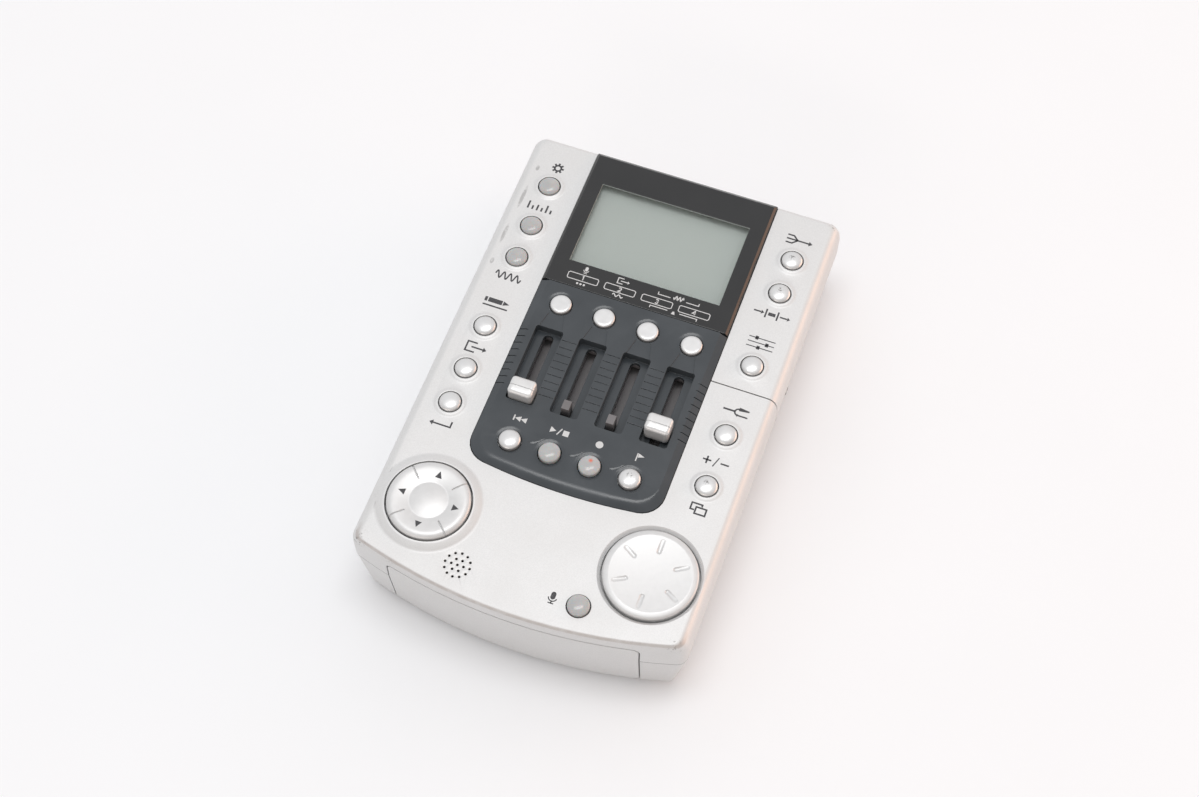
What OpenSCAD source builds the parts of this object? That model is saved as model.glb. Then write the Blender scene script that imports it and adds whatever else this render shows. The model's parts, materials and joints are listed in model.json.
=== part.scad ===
// Palm-size multitrack recorder with four sliders, a jog dial and a cursor pad.
// Millimetres. +X right, +Y to the rear, +Z up. The origin is on the table under the middle of the case.

/* [Case] */
// Width of the dark control panel
panel_w = 50; // [47:0.5:54]
// Width of each silver wing beside the panel
wing_w = 17.5; // [17:0.1:20]
// Depth of the display part of the panel
display_len = 43; // [42:0.5:48]
// Depth of the slider part of the panel
fader_len = 55; // [54:0.5:62]
// Depth of the silver deck in front of the panel
front_len = 34; // [33:0.5:38]
// Radius of the bowed front edge
front_r = 139; // [120:1:200]
// Plan radius of the case corners
corner_r = 3; // [2.5:0.5:5]
// Wall thickness of the case halves
wall = 1.8; // [1.5:0.1:2]
// Joint line of the case halves, below the top face
part_drop = 10; // [9:0.5:10.5]
// Gap of the joint in front of the right wing cover
seam_gap = 0.3; // [0.2:0.05:0.5]
// Distance of that joint from the panel step
seam_from_step = 13.25; // [12:0.25:15]

/* [Edges] */
// Width of the rounded top edge at the sides
bevel_side = 2.8; // [1.5:0.1:3.2]
// Width of the rounded top edge at the front
bevel_front = 1.1; // [0.8:0.1:1.5]
// Width of the rounded top edge at the rear
bevel_rear = 2; // [1:0.1:2.4]
// Height of the rounded top edge
bevel_h = 4; // [3:0.1:4.5]
// Draw-in of the bottom half at the sides
taper_side = 2.6; // [1:0.1:3]
// Draw-in of the bottom half at the front and rear
taper_end = 1.2; // [0.5:0.1:1.5]
// Rounding of the bottom edge
base_round = 1.2; // [0.6:0.1:1.5]

/* [Stack] */
// Height of the rubber feet below the case
foot_h = 1; // [0.6:0.1:1.4]
// Radius of the rubber feet
foot_r = 3; // [2:0.1:3.2]
// Thickness of the case floor and of the battery cover
floor_t = 1.5; // [1.4:0.1:2]
// Diameter of a battery cell
cell_d = 14.5; // [14:0.1:14.6]
// Length of a battery cell with its button
cell_len = 50.5; // [49:0.1:50.6]
// Thickness of the battery bay's roof
roof_t = 0.7; // [0.6:0.1:1]
// Thickness of the main board
board_t = 1.2; // [1:0.1:1.6]
// Room above the main board, up to the top face
deck_h = 7; // [6.8:0.1:7.6]
// Thickness of the cover's front wall
cover_t = 1.6; // [1.2:0.1:1.8]
// Half width of the battery cover's opening
cover_hw = 32; // [31.6:0.1:32]
// Top of the cover, below the top face
cover_drop = 3.2; // [2.6:0.1:4]

/* [Panel] */
// Height of the dark panel above the silver top
panel_rise = 1.2; // [0.8:0.1:1.4]
// Width of the slider panel's side bevel
panel_bevel = 2; // [1:0.1:2.2]
// Width of the slider panel's rounded front edge
panel_front_bevel = 3; // [2:0.1:3.4]
// Width of the display bezel's bevel
bezel_bevel = 0.8; // [0.4:0.1:1.2]
// Radius of the panel's bowed front edge
panel_front_r = 150; // [120:1:200]
// Radius of the panel's front corners
panel_corner_r = 6; // [4:0.5:7]
// Width of the display opening
view_w = 40.2; // [37:0.1:41]
// Depth of the display opening
view_d = 24.7; // [22:0.1:25]
// Rear edge of the display opening, from the rear edge of the case
view_from_rear = 10.8; // [10:0.1:12]

/* [Sliders] */
// Spacing of the four sliders and status keys
fader_pitch = 11.6; // [11:0.1:12]
// Width of a slider recess
recess_w = 7.2; // [6.8:0.1:7.6]
// Depth of a slider recess
recess_h = 2.7; // [2:0.1:2.8]
// Rear end of the recess, from the panel step
recess_from_step = 13.45; // [13:0.1:15]
// Front end of the recess, from the panel's front edge
recess_from_front = 19.3; // [18:0.1:21]
// Width of a slider stem
stem_w = 2; // [1.6:0.1:2.2]
// Length of a slider stem
stem_l = 2.6; // [2:0.1:3]
// Height of the bare stems above the panel
stem_rise = 0.7; // [0.4:0.1:1.2]
// Width of a slider cap
cap_w = 6.4; // [5:0.1:6.4]
// Length of a slider cap
cap_l = 5; // [4.2:0.1:6]
// Height of a slider cap above the panel
cap_rise = 3.3; // [2.5:0.1:4]
// How far the fourth slider stands pushed up
fader_4_up = 1.9; // [0:0.1:8]

/* [Keys] */
// Radius of the round keys
key_r = 2.7; // [2.5:0.05:2.9]
// Height of the domed keys above the face around them
key_rise = 1.4; // [1:0.1:1.8]
// Height of the flat status keys above the panel
status_rise = 0.6; // [0.5:0.1:1.2]
// Travel of every key
key_travel = 0.5; // [0.3:0.05:0.6]
// Height of the raised lip around a wing key
lip_h = 0.45; // [0.3:0.05:0.6]
// Distance of the wing keys from the panel's side
wing_key_x = 8.3; // [8:0.1:9]
// Left keys, from the rear edge of the case
left_rows = [15.7, 28.8, 39.1, 61, 74, 84.2];
// Right keys, from the rear edge of the case
right_rows = [15.9, 26.4, 49, 69.6, 84.4];
// Status keys, from the panel step
status_from_step = 6.1; // [5.6:0.1:6.6]
// Transport keys, from the panel's front edge
transport_from_front = 8.55; // [8:0.05:9.5]
// Spacing of the transport keys
transport_pitch = 10.3; // [9:0.1:10.8]
// Microphone key and grille, from the front edge
mic_from_front = 8.1; // [8:0.1:9]
// Microphone key and grille, from the middle
mic_x = 15.2; // [14:0.1:15.4]

/* [Dial and pad] */
// Radius of the jog dial
dial_r = 11.45; // [10.5:0.05:11.8]
// Height of the jog dial above the top face
dial_rise = 0.8; // [0.6:0.1:2]
// Radial gap around the jog dial
dial_gap = 0.45; // [0.3:0.05:0.6]
// Jog dial centre, from the right side
dial_from_side = 14.2; // [14:0.1:15]
// Jog dial centre, from the front edge
dial_from_front = 21.4; // [20.4:0.1:21.6]
// Radius of the cursor pad
pad_r = 10.2; // [9:0.1:10.4]
// Height of the cursor pad above the top face
pad_rise = 2; // [1.6:0.1:2.4]
// Radius of the raised dome in the middle of the pad
pad_dome_r = 4.75; // [4:0.05:5.5]
// Cursor pad centre, from the left side
pad_from_side = 14.8; // [14:0.1:15]
// Cursor pad centre, from the front edge
pad_from_front = 20.8; // [20:0.1:21.2]
// Height of the boss around the pad
boss_h = 1; // [0.6:0.1:1.2]

/* [Sides and rear] */
// Radius of the volume wheel
wheel_r = 9.6; // [8.5:0.1:10]
// Thickness of the volume wheel
wheel_t = 2.6; // [2:0.1:2.8]
// Volume wheel centre, in front of the panel step
wheel_from_step = 2.5; // [2:0.1:4]
// Bore radius of the large input jack
plug_r = 3.25; // [3.2:0.01:3.3]
// Bore radius of the small jacks
mini_r = 1.8; // [1.78:0.01:1.85]
// Depth of the jack bores
plug_depth = 14; // [12:0.5:15]
// Width of the memory card
card_w = 37; // [35:0.1:37.5]
// Length of the memory card
card_l = 45; // [43:0.1:45.5]
// Thickness of the memory card
card_t = 0.8; // [0.7:0.05:1]

/* [Clearances] */
// Gap beside pieces that slide or turn
slide_gap = 0.3; // [0.3:0.02:0.36]
// Gap between fixed pieces that fit into one another
fit_gap = 0.15; // [0.1:0.01:0.2]
// Radial gap of a shaft in its bore
shaft_gap = 0.05; // [0.03:0.01:0.06]

/* [Hidden] */
$fn = 48;
skin = 0.01;
over = 1;

body_w = panel_w + 2 * wing_w;
body_d = display_len + fader_len + front_len;
rear_y = body_d / 2;
front_y = -body_d / 2;
step_y = rear_y - display_len;
panel_front_y = step_y - fader_len;
seam_y = step_y - seam_from_step;

z_floor = foot_h + floor_t;
z_cell = z_floor + slide_gap;
z_roof = z_cell + cell_d + fit_gap;
z_board = z_roof + roof_t + fit_gap;
z_deck = z_board + board_t;
z_top = z_deck + deck_h;
z_in = z_top - wall;
z_panel = z_top + panel_rise;
z_part = z_top - part_drop;
z_sill = z_top - bevel_h;
z_cover = z_top - cover_drop;

bevel_turns = [0, 12, 26, 44, 66, 90];
inner_wall = 1.3;
front_wall = cover_t + slide_gap + inner_wall;
lip_t = 0.8;

// Screws that hold the two halves, and the feet
tower_r = 3.2;
screw_from_side = 7.2;
screw_x = body_w / 2 - screw_from_side;
screw_rear = rear_y - 9;
screw_front = panel_front_y + 4;
screw_points = [for (s = [-1, 1]) for (y = [screw_rear, screw_front]) [s * screw_x, y]];
foot_x = cover_hw + foot_r;
foot_points = [for (s = [-1, 1]) for (y = [rear_y - 20, front_y + 18]) [s * foot_x, y]];
screw_r = 1;
head_r = 2.2;
head_h = 1.4;
post_r = 2.6;
z_head = foot_h + 3;

// Keys: name, x, y, face height, radius, shape
key_hole_r = key_r + slide_gap;
wing_x = panel_w / 2 + wing_key_x;
status_y = step_y - status_from_step;
transport_y = panel_front_y + transport_from_front;
mic_y = front_y + mic_from_front;
grille_pitch = 1.55;
grille_hole_r = 0.32;
left_keys = [for (i = [0:5]) [str("left_key_", i + 1), -wing_x, rear_y - left_rows[i], z_top, "dome"]];
right_keys = [for (i = [0:4]) [str("right_key_", i + 1), wing_x, rear_y - right_rows[i], z_top, "dome"]];
mic_key = ["mic_key", mic_x, mic_y, z_top, "dome"];
status_keys = [
    for (i = [0:3]) [str("status_key_", i + 1), (i - 1.5) * fader_pitch, status_y, z_panel, "flat"]
];
transport_names = ["rewind_key", "play_key", "record_key", "mark_key"];
transport_keys = [
    for (i = [0:3]) [transport_names[i], (i - 1.5) * transport_pitch, transport_y, z_panel, "dome"]
];
wing_keys = concat(left_keys, right_keys, [mic_key]);
panel_keys = concat(status_keys, transport_keys);
keys = concat(wing_keys, panel_keys);
key_dish_r = key_r + 1.35;
key_dish_h = 0.25;
neck_h = 0.2;
flange_r = key_r + 0.6;
flange_t = 0.9;
z_flange = z_in - slide_gap - flange_t;
key_stem_r = 1.3;
switch_w = 6;
switch_h = 2.9;
z_switch = z_deck + switch_h;
key_reach = 0.8;

// Sliders
recess_rear = step_y - recess_from_step;
recess_front = panel_front_y + recess_from_front;
stop_gap = 0.9;
slot_margin = (cap_l - stem_l) / 2 + slide_gap - stop_gap;
slot_rear = recess_rear - slot_margin;
slot_front = recess_front + slot_margin;
slot_w = stem_w + 2 * slide_gap;
lever_y = slot_front + stop_gap + stem_l / 2;
lever_travel = slot_rear - slot_front - stem_l - 2 * stop_gap;
fader_x = [for (i = [0:3]) (i - 1.5) * fader_pitch];
fader_y = [lever_y, lever_y, lever_y, lever_y + fader_4_up];
z_recess = z_panel - recess_h;
z_pocket = z_recess - 0.9;
z_track = z_pocket - 0.4;
track_w = 8.8;
shoe_w = 5.6;
shoe_l = 6;
shoe_t = 1.3;
z_shoe = z_deck + 1.3;
track_end = 1.5;
track_front = lever_y - shoe_l / 2 - slide_gap - track_end;
track_rear = lever_y + lever_travel + shoe_l / 2 + slide_gap + track_end;
z_stem = z_panel + stem_rise;
z_cap = z_panel + cap_rise;
z_cap_low = z_recess + 0.6;
tick_pitch = 2.05;
tick_count = 9;
tick_w = 0.25;
tick_h = 0.2;

// Chips on the free parts of the board: x, y, width, depth
chip_h = 1.3;
main_chip = 14;
small_chip = 10;
side_chip = 4;
side_chip_x = fader_x[3] + track_w / 2 + side_chip;
chip_row = front_y + dial_from_front;
chips = [
    [0, chip_row + main_chip / 2 - slide_gap, main_chip, main_chip],
    [0, chip_row - small_chip, small_chip, small_chip],
    [-side_chip_x, recess_rear, side_chip, 2 * side_chip],
    [side_chip_x, recess_rear, side_chip, 2 * side_chip]
];

// Dial and pad
dial_x = body_w / 2 - dial_from_side;
dial_y = front_y + dial_from_front;
well_r = dial_r + dial_gap;
cup_r = well_r + 1.35;
z_well = z_in - 0.9;
z_cup = z_well - 1.2;
z_dial = z_well + slide_gap;
encoder_w = 12;
z_encoder = z_cup - slide_gap;
shaft_r = 3;
z_shaft = z_top - 0.8;
dial_rim = 1.4;
dial_grooves = 6;
pad_x = pad_from_side - body_w / 2;
pad_y = front_y + pad_from_front;
pad_gap = 0.45;
pad_hole_r = pad_r + pad_gap;
pad_flange_r = pad_hole_r + 0.3;
z_pad_flange = z_in - 1.7;
z_rubber = z_deck + 1.5;
rubber_t = 1;
rubber_r = pad_r - 1.8;
boss_r = pad_hole_r + 2.35;
boss_foot = 0.5;

// Display
view_y = rear_y - view_from_rear - view_d / 2;
pane_edge = 1.4;
pane_t = 1.2;
pane_drop = 0.4;
z_pane = z_panel - pane_drop - pane_t;
bezel_wall = 1.7;
bezel_front = step_y + fit_gap / 2;
cave_hw = panel_w / 2 - bezel_wall;
cave_y = [bezel_front + 1.2, rear_y - 3.4];
holder_hw = cave_hw - slide_gap;
holder_y = [cave_y[0] + slide_gap, cave_y[1] - slide_gap];
holder_edge = 1;
lcd_hw = holder_hw - holder_edge;
lcd_y = [holder_y[0] + holder_edge, holder_y[1] - holder_edge];
lcd_t = 1.8;
lcd_gap = 0.6;
z_lcd = z_pane - lcd_gap - lcd_t;
strip_t = 1.4;
strip_y = [lcd_y[0] + strip_t, lcd_y[1] - strip_t];
guide_edge = 1;

// Battery bay
cell_gap = 0.3;
bay_hw = 2 * cell_d + 1.5 * cell_gap + 0.5;
bay_wall = 1.2;
bay_plate = 0.4;
bay_front = front_y + taper_end + base_round + sag(cover_hw) + cover_t + slide_gap;
cell_front = bay_front + 1 + bay_plate + fit_gap;
spring_l = 4;
bay_rear = cell_front + cell_len + spring_l + bay_plate;
cover_rear = bay_rear + bay_wall - slide_gap;
cell_x = [for (i = [0:3]) (i - 1.5) * (cell_d + cell_gap)];

// Side and rear fittings
wheel_x = body_w / 2 - wheel_r - 0.1;
wheel_y = step_y - wheel_from_step;
z_wheel = z_part - 0.5 - wheel_t;
wheel_slot = 2 * wheel_r + 0.2;
knurl_count = 40;
pot_shaft_r = 1.5;
pot_hw = 5;
jack_x = 23;
z_jack = foot_h + 8.5;
bush_r = 4.7;
nut_r = 6.3;
nut_t = 1.8;
jack_face = rear_y - 0.6;
jack_boss_r = 8.4;
jack_seat = jack_face - nut_t - 2.2;
jack_w = 14;
jack_h = 13.4;
jack_len = 21;
mini_x = [1, 10.5];
dc_x = -23;
switch_x = -10;
z_mini = foot_h + 10;
mini_nose_r = 2.9;
mini_w = 7;
mini_len = 13;
dc_nose_r = 3.9;
dc_bore_r = 2.8;
dc_pin_r = 0.9;
dc_w = 9;
wall_in = rear_y - taper_end - wall;
throw = 3;
knob_w = 3;
socket_t = 1.2;
socket_hw = card_w / 2 + slide_gap + socket_t;
card_y = wall_in - mini_len - 3 - socket_hw;
card_end = 3 - body_w / 2;
z_card = z_part - 2.1;

// How far the bowed front edge has run back at a distance from the middle
function sag(x) = front_r - sqrt(front_r * front_r - x * x);

function arc(x, y, r, a0, a1, n) = [
    for (i = [0:n]) let (a = a0 + (a1 - a0) * i / n) [x + r * cos(a), y + r * sin(a)]
];

// Outline with a straight rear edge, a bowed front edge and four round corners
function plan(hw, yr, yf, bow, rr, rf) =
    let (cx = hw - rf, yc = yf + bow, cy = yc - sqrt((bow - rf) * (bow - rf) - cx * cx))
    let (turn = atan2(cy - yc, cx))
    concat(
        arc(hw - rr, yr - rr, rr, 0, 90, 6),
        arc(rr - hw, yr - rr, rr, 90, 180, 6),
        arc(-cx, cy, rf, 180, 180 - turn, 6),
        arc(0, yc, bow, 180 - turn + 2, 358 + turn, 12),
        arc(cx, cy, rf, 360 + turn, 360, 6)
    );

function case_plan(s, f, b) = plan(
    body_w / 2 - s, rear_y - b, front_y + f, front_r, corner_r - s * 0.4, corner_r - s * 0.4
);

joint_layer = [z_part, case_plan(0, 0, 0)];
upper_layers = [
    for (i = [len(bevel_turns) - 1:-1:0]) let (a = bevel_turns[i], e = 1 - sin(a))
        [z_top - bevel_h * (1 - cos(a)), case_plan(bevel_side * e, bevel_front * e, bevel_rear * e)]
];
lower_layers = [
    [foot_h, case_plan(taper_side + base_round, taper_end + base_round, taper_end + base_round)],
    [foot_h + base_round, case_plan(taper_side, taper_end, taper_end)]
];

function panel_plan(grow, front, rear) = plan(
    panel_w / 2 + grow, rear, panel_front_y - front, panel_front_r, 0.4, panel_corner_r
);

module slab(z, h, points) {
    translate([0, 0, z])
        linear_extrude(h)
            polygon(points);
}

module block(x, y, z) {
    translate([x[0], y[0], z[0]])
        cube([x[1] - x[0], y[1] - y[0], z[1] - z[0]]);
}

module post(x, y, z0, z1, r) {
    translate([x, y, z0])
        cylinder(h = z1 - z0, r = r);
}

// Upright pocket with rounded corners
module pocket(w, y0, y1, z0, z1, r) {
    block([-w / 2, w / 2], [y0 + r, y1 - r], [z0, z1]);
    block([r - w / 2, w / 2 - r], [y0, y1], [z0, z1]);
    for (x = [r - w / 2, w / 2 - r]) {
        post(x, y0 + r, z0, z1, r);
        post(x, y1 - r, z0, z1, r);
    }
}

// Solid through outlines of equal length, each given as [height, points], from the lowest up
module loft(layers) {
    n = len(layers[0][1]);
    last = len(layers) - 1;
    points = [for (l = layers) for (p = l[1]) [p[0], p[1], l[0]]];
    sides = [
        for (j = [0:last - 1]) for (i = [0:n - 1]) let (a = j * n, b = a + n, k = (i + 1) % n)
            [a + i, b + i, b + k, a + k]
    ];
    polyhedron(points, concat([[for (i = [0:n - 1]) i]], [[for (i = [n - 1:-1:0]) last * n + i]], sides));
}

module lower_form() {
    loft(concat(lower_layers, [joint_layer]));
}

module upper_shell() {
    difference() {
        loft(concat([joint_layer], upper_layers));
        loft([
            [z_part - over, case_plan(wall, front_wall, wall)],
            [z_in, case_plan(wall + 0.9, front_wall + 0.3, wall + 0.6)]
        ]);
    }
}

// Space that the dark panel and its rear skirt take out of the upper shell
module panel_opening() {
    slab(z_in - over, wall + 2 * over, panel_plan(0, 0, rear_y + 3));
    block([-panel_w / 2, panel_w / 2], [rear_y - 6, rear_y + 3], [z_sill, z_top]);
}

// Right rear part of the upper shell
module wing_zone(x0, y0) {
    block([x0, body_w], [y0, rear_y + 3], [z_part - over, z_top + 5]);
}

// Space of the battery cover's front wall, with rounded upper corners
module cover_front(gap) {
    r = 2;
    hw = cover_hw - gap;
    top = z_cover - gap;
    y = [front_y - over, panel_front_y];
    block([-hw, hw], y, [0, top - r]);
    block([r - hw, hw - r], y, [0, top]);
    for (x = [r - hw, hw - r])
        translate([x, y[1], top - r])
            rotate([90, 0, 0])
                cylinder(h = y[1] - y[0], r = r);
}

module key_lips(list) {
    for (k = list)
        translate([k[1], k[2], z_top - lip_h])
            cylinder(h = 2 * lip_h, r1 = key_r + 2.75, r2 = key_r + 0.65);
}

module key_holes(list) {
    for (k = list)
        post(k[1], k[2], z_in - over, z_top + over, key_hole_r);
}

module screw_post(x, y) {
    difference() {
        post(x, y, z_deck, z_in + skin, post_r);
        post(x, y, z_deck - over, z_in - 0.5, screw_r + shaft_gap);
    }
}

module grille_holes() {
    for (ring = [0:2])
        for (i = [0:max(1, 6 * ring) - 1])
            translate([-mic_x, mic_y, z_in - over])
                rotate(i * 60 / max(1, ring))
                    translate([ring * grille_pitch, 0, 0])
                        cylinder(h = wall + 2 * over, r = grille_hole_r, $fn = 24);
}

// Cone around the cursor pad, kept inside the case outline, with a hollow rounding at its foot
module pad_boss() {
    drop = 1.6;
    run = (boss_r - pad_hole_r - 0.6) / boss_h;
    intersection() {
        translate([pad_x, pad_y, z_top - drop])
            cylinder(h = boss_h + drop, r1 = boss_r + run * drop, r2 = pad_hole_r + 0.6, $fn = 96);
        slab(z_top - drop, boss_h + drop, case_plan(0.7, 0.7, 0.7));
    }
    intersection() {
        translate([pad_x, pad_y, 0])
            rotate_extrude($fn = 96)
                polygon(concat(
                    [for (u = [0:0.25:1]) [
                        boss_r + boss_foot * (1 - 2 * u), z_top - skin + boss_foot * u * u / run
                    ]],
                    [[boss_r - boss_foot, z_top - boss_foot], [boss_r + boss_foot, z_top - boss_foot]]
                ));
        slab(z_top - boss_foot - over, boss_h + drop, case_plan(bevel_side, bevel_front, bevel_rear));
    }
}

// Blind cup that the jog dial turns in
module dial_cup() {
    post(dial_x, dial_y, z_cup, z_in + 0.5, cup_r);
}

module dial_well() {
    hole_r = shaft_r + slide_gap;
    well = [
        [0, z_cup - over],
        [hole_r, z_cup - over],
        [hole_r, z_well],
        [well_r, z_well],
        [well_r, z_top - 0.8],
        [well_r + 2, z_top + 1.2],
        [0, z_top + 1.2]
    ];
    translate([dial_x, dial_y, 0])
        rotate_extrude($fn = 96)
            polygon(well);
}

module top_case() {
    color([0.84, 0.84, 0.83])
        difference() {
            union() {
                difference() {
                    upper_shell();
                    panel_opening();
                    wing_zone(panel_w / 2 - seam_gap, seam_y - seam_gap / 2);
                }
                key_lips(left_keys);
                key_lips([right_keys[3], right_keys[4]]);
                pad_boss();
                dial_cup();
                screw_post(-screw_x, screw_rear);
                screw_post(-screw_x, screw_front);
                screw_post(screw_x, screw_front);
            }
            key_holes(left_keys);
            key_holes([right_keys[3], right_keys[4], mic_key]);
            post(pad_x, pad_y, z_in - over, z_top + 5, pad_hole_r);
            dial_well();
            grille_holes();
            difference() {
                cover_front(0);
                slab(z_part - over, part_drop + over, case_plan(wall, cover_t + slide_gap, 0));
            }
        }
}

module right_wing_cover() {
    color([0.84, 0.84, 0.83])
        difference() {
            union() {
                intersection() {
                    upper_shell();
                    wing_zone(panel_w / 2, seam_y + seam_gap / 2);
                }
                key_lips([right_keys[0], right_keys[1], right_keys[2]]);
                screw_post(screw_x, screw_rear);
            }
            key_holes([right_keys[0], right_keys[1], right_keys[2]]);
        }
}

// Walls and roof around the four cells
module battery_bay() {
    hw = bay_hw + bay_wall;
    y1 = bay_rear + bay_wall;
    z1 = z_roof + roof_t;
    block([-hw, hw], [bay_front, y1], [z_roof, z1]);
    block([-hw, hw], [bay_front, bay_front + 1], [z_cell, z1]);
    block([-hw, hw], [bay_rear, y1], [z_cell, z1]);
    block([-hw, hw], [y1, y1 + bay_wall], [foot_h + floor_t / 2, z1]);
    for (x = [-hw, bay_hw])
        block([x, x + bay_wall], [bay_front, y1], [z_cell, z1]);
}

module screw_tower(x, y) {
    post(x, y, foot_h + floor_t / 2, z_board, tower_r);
}

module screw_hole(x, y) {
    post(x, y, 0, z_board + over, screw_r + slide_gap);
    post(x, y, 0, z_head, head_r + slide_gap);
}

module rear_hole(x, z, r) {
    translate([x, rear_y + over, z])
        rotate([90, 0, 0])
            cylinder(h = wall + taper_end + 3, r = r);
}

module bottom_case() {
    color([0.78, 0.78, 0.77])
        difference() {
            union() {
                difference() {
                    lower_form();
                    loft([
                        [z_floor, case_plan(taper_side + wall, taper_end + wall, taper_end + wall)],
                        [z_part + skin, case_plan(wall, wall, wall)]
                    ]);
                    cover_front(0);
                }
                battery_bay();
                for (p = screw_points)
                    screw_tower(p[0], p[1]);
                intersection() {
                    lower_form();
                    translate([jack_x, jack_seat, z_jack])
                        rotate([-90, 0, 0])
                            cylinder(h = 8, r = jack_boss_r);
                }
            }
            block([-cover_hw, cover_hw], [front_y - over, bay_rear + bay_wall], [0, z_cell]);
            for (p = screw_points)
                screw_hole(p[0], p[1]);
            for (p = foot_points)
                post(p[0], p[1], 0, foot_h + 0.5, foot_r + fit_gap);
            block([wheel_x, body_w], [wheel_y - wheel_slot / 2, wheel_y + wheel_slot / 2],
                [z_wheel - 0.4, z_part + over]);
            block([-body_w, card_end + 1], [card_y - card_w / 2 - 0.5, card_y + card_w / 2 + 0.5],
                [z_card - 0.4, z_card + card_t + 0.4]);
            rear_hole(jack_x, z_jack, bush_r + fit_gap);
            translate([jack_x, jack_face - nut_t - 0.2, z_jack])
                rotate([-90, 0, 0])
                    cylinder(h = 5, r = nut_r + 0.4);
            for (x = mini_x)
                rear_hole(x, z_mini, mini_nose_r + fit_gap);
            rear_hole(dc_x, z_mini, dc_nose_r + fit_gap);
            block([switch_x - (knob_w + throw) / 2 - slide_gap, switch_x + (knob_w + throw) / 2 + slide_gap],
                [wall_in - over, rear_y + over],
                [z_mini - knob_w / 2 - slide_gap, z_mini + knob_w / 2 + slide_gap]);
        }
}

module battery_cover() {
    color([0.8, 0.8, 0.79])
        intersection() {
            loft(concat(lower_layers, [joint_layer], upper_layers));
            union() {
                difference() {
                    cover_front(slide_gap);
                    loft([
                        [z_floor, case_plan(-over, cover_t + taper_end, 0)],
                        [z_part, case_plan(-over, cover_t, 0)],
                        [z_top, case_plan(-over, cover_t, 0)]
                    ]);
                }
                block([slide_gap - cover_hw, cover_hw - slide_gap], [front_y, cover_rear], [0, z_floor]);
            }
        }
}

// Hollow of one slider, with its floor slot
module fader_cut() {
    pocket(recess_w, recess_front, recess_rear, z_recess, z_panel + over, 0.8);
    pocket(slot_w, slot_front, slot_rear, z_pocket - over, z_recess + over, slot_w / 2 - skin);
}

// Shallow neck between a status key's dish and its slider
module neck_cut() {
    neck = [
        [-2, status_y - 3],
        [2, status_y - 3],
        [recess_w / 2 - 0.5, recess_rear - 0.3],
        [0.5 - recess_w / 2, recess_rear - 0.3]
    ];
    slab(z_panel - neck_h, over, neck);
}

// Shallow dish around a panel key, with the key's hole
module key_dish(k) {
    inner = key_hole_r + 0.1;
    translate([k[1], k[2], z_panel - key_dish_h])
        cylinder(h = 2 * key_dish_h, r1 = inner, r2 = 2 * key_dish_r - inner);
    post(k[1], k[2], z_in - over, z_panel, key_hole_r);
}

// Scale grooves between the sliders
module ticks() {
    gap_w = fader_pitch - recess_w - 0.6;
    for (i = [0:tick_count - 1])
        for (x = [-fader_pitch, 0, fader_pitch])
            translate([x - gap_w / 2, recess_rear - 2.4 - i * tick_pitch, z_panel - tick_h])
                cube([gap_w, tick_w, over]);
}

// Scale grooves across the side bevels
module side_ticks() {
    run = panel_bevel + 0.6;
    lean = atan((panel_rise - 0.1) / panel_bevel);
    for (i = [0:tick_count - 1])
        for (s = [0, 1])
            mirror([s, 0, 0])
                translate([panel_w / 2 - fit_gap, recess_rear - 2.4 - i * tick_pitch, z_top + 0.1])
                    rotate([0, lean, 0])
                        translate([-run, 0, -tick_h])
                            cube([run, tick_w, over]);
}

// Outlines of the slider panel's edge, from its foot up: rounded at the front, flat bevels at the sides
function edge_layers(rear) = [
    for (t = [1:-0.25:0]) let (
        side = fit_gap + (panel_bevel - fit_gap) * (1 - t * t),
        front = fit_gap + (panel_front_bevel - fit_gap) * (1 - t)
    )
        [z_panel - (panel_rise - 0.1) * t * t, panel_plan(-side, -front, rear)]
];

module control_panel() {
    rear = step_y - fit_gap / 2;
    color([0.25, 0.26, 0.28])
        difference() {
            union() {
                loft(concat([[z_in - lip_t, panel_plan(-fit_gap, -fit_gap, rear)]], edge_layers(rear)));
                slab(z_in - lip_t, lip_t, panel_plan(1.2, 1.2, rear));
                for (x = fader_x)
                    translate([x, 0, 0])
                        block([-recess_w / 2 - 0.8, recess_w / 2 + 0.8],
                            [recess_front - 0.8, recess_rear + 0.8], [z_pocket, z_in]);
            }
            for (x = fader_x)
                translate([x, 0, 0]) {
                    fader_cut();
                    neck_cut();
                }
            for (k = panel_keys)
                key_dish(k);
            for (k = panel_keys)
                post(k[1], k[2], z_in - 2, z_in, flange_r + slide_gap);
            ticks();
            side_ticks();
        }
}

module display_bezel() {
    hw = panel_w / 2 - fit_gap;
    front = bezel_front;
    color([0.13, 0.13, 0.14])
        difference() {
            union() {
                hull() {
                    block([-hw, hw], [front, rear_y - 0.05], [z_sill + fit_gap, z_sill + 1]);
                    block([-hw, hw], [front, rear_y - 0.5], [z_sill + 1, z_top - 1.2]);
                    block([-hw, hw], [front, rear_y - 1.3], [z_top - 1.2, z_panel - bezel_bevel]);
                    block([bezel_bevel - hw, hw - bezel_bevel],
                        [front, rear_y - 1.9 - bezel_bevel / 2], [z_panel - skin, z_panel]);
                }
                for (s = [0, 1])
                    mirror([s, 0, 0])
                        block([hw - 1, hw + 1.2], [front + 2, rear_y - 8], [z_in - 1.4, z_in - fit_gap]);
            }
            block([-cave_hw, cave_hw], cave_y, [z_sill - over, z_pane]);
            block([-view_w / 2 - pane_edge - fit_gap, view_w / 2 + pane_edge + fit_gap],
                [view_y - view_d / 2 - pane_edge - fit_gap, view_y + view_d / 2 + pane_edge + fit_gap],
                [z_pane - over, z_pane + pane_t]);
            block([-view_w / 2, view_w / 2], [view_y - view_d / 2, view_y + view_d / 2],
                [z_pane, z_panel + over]);
        }
}

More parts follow.
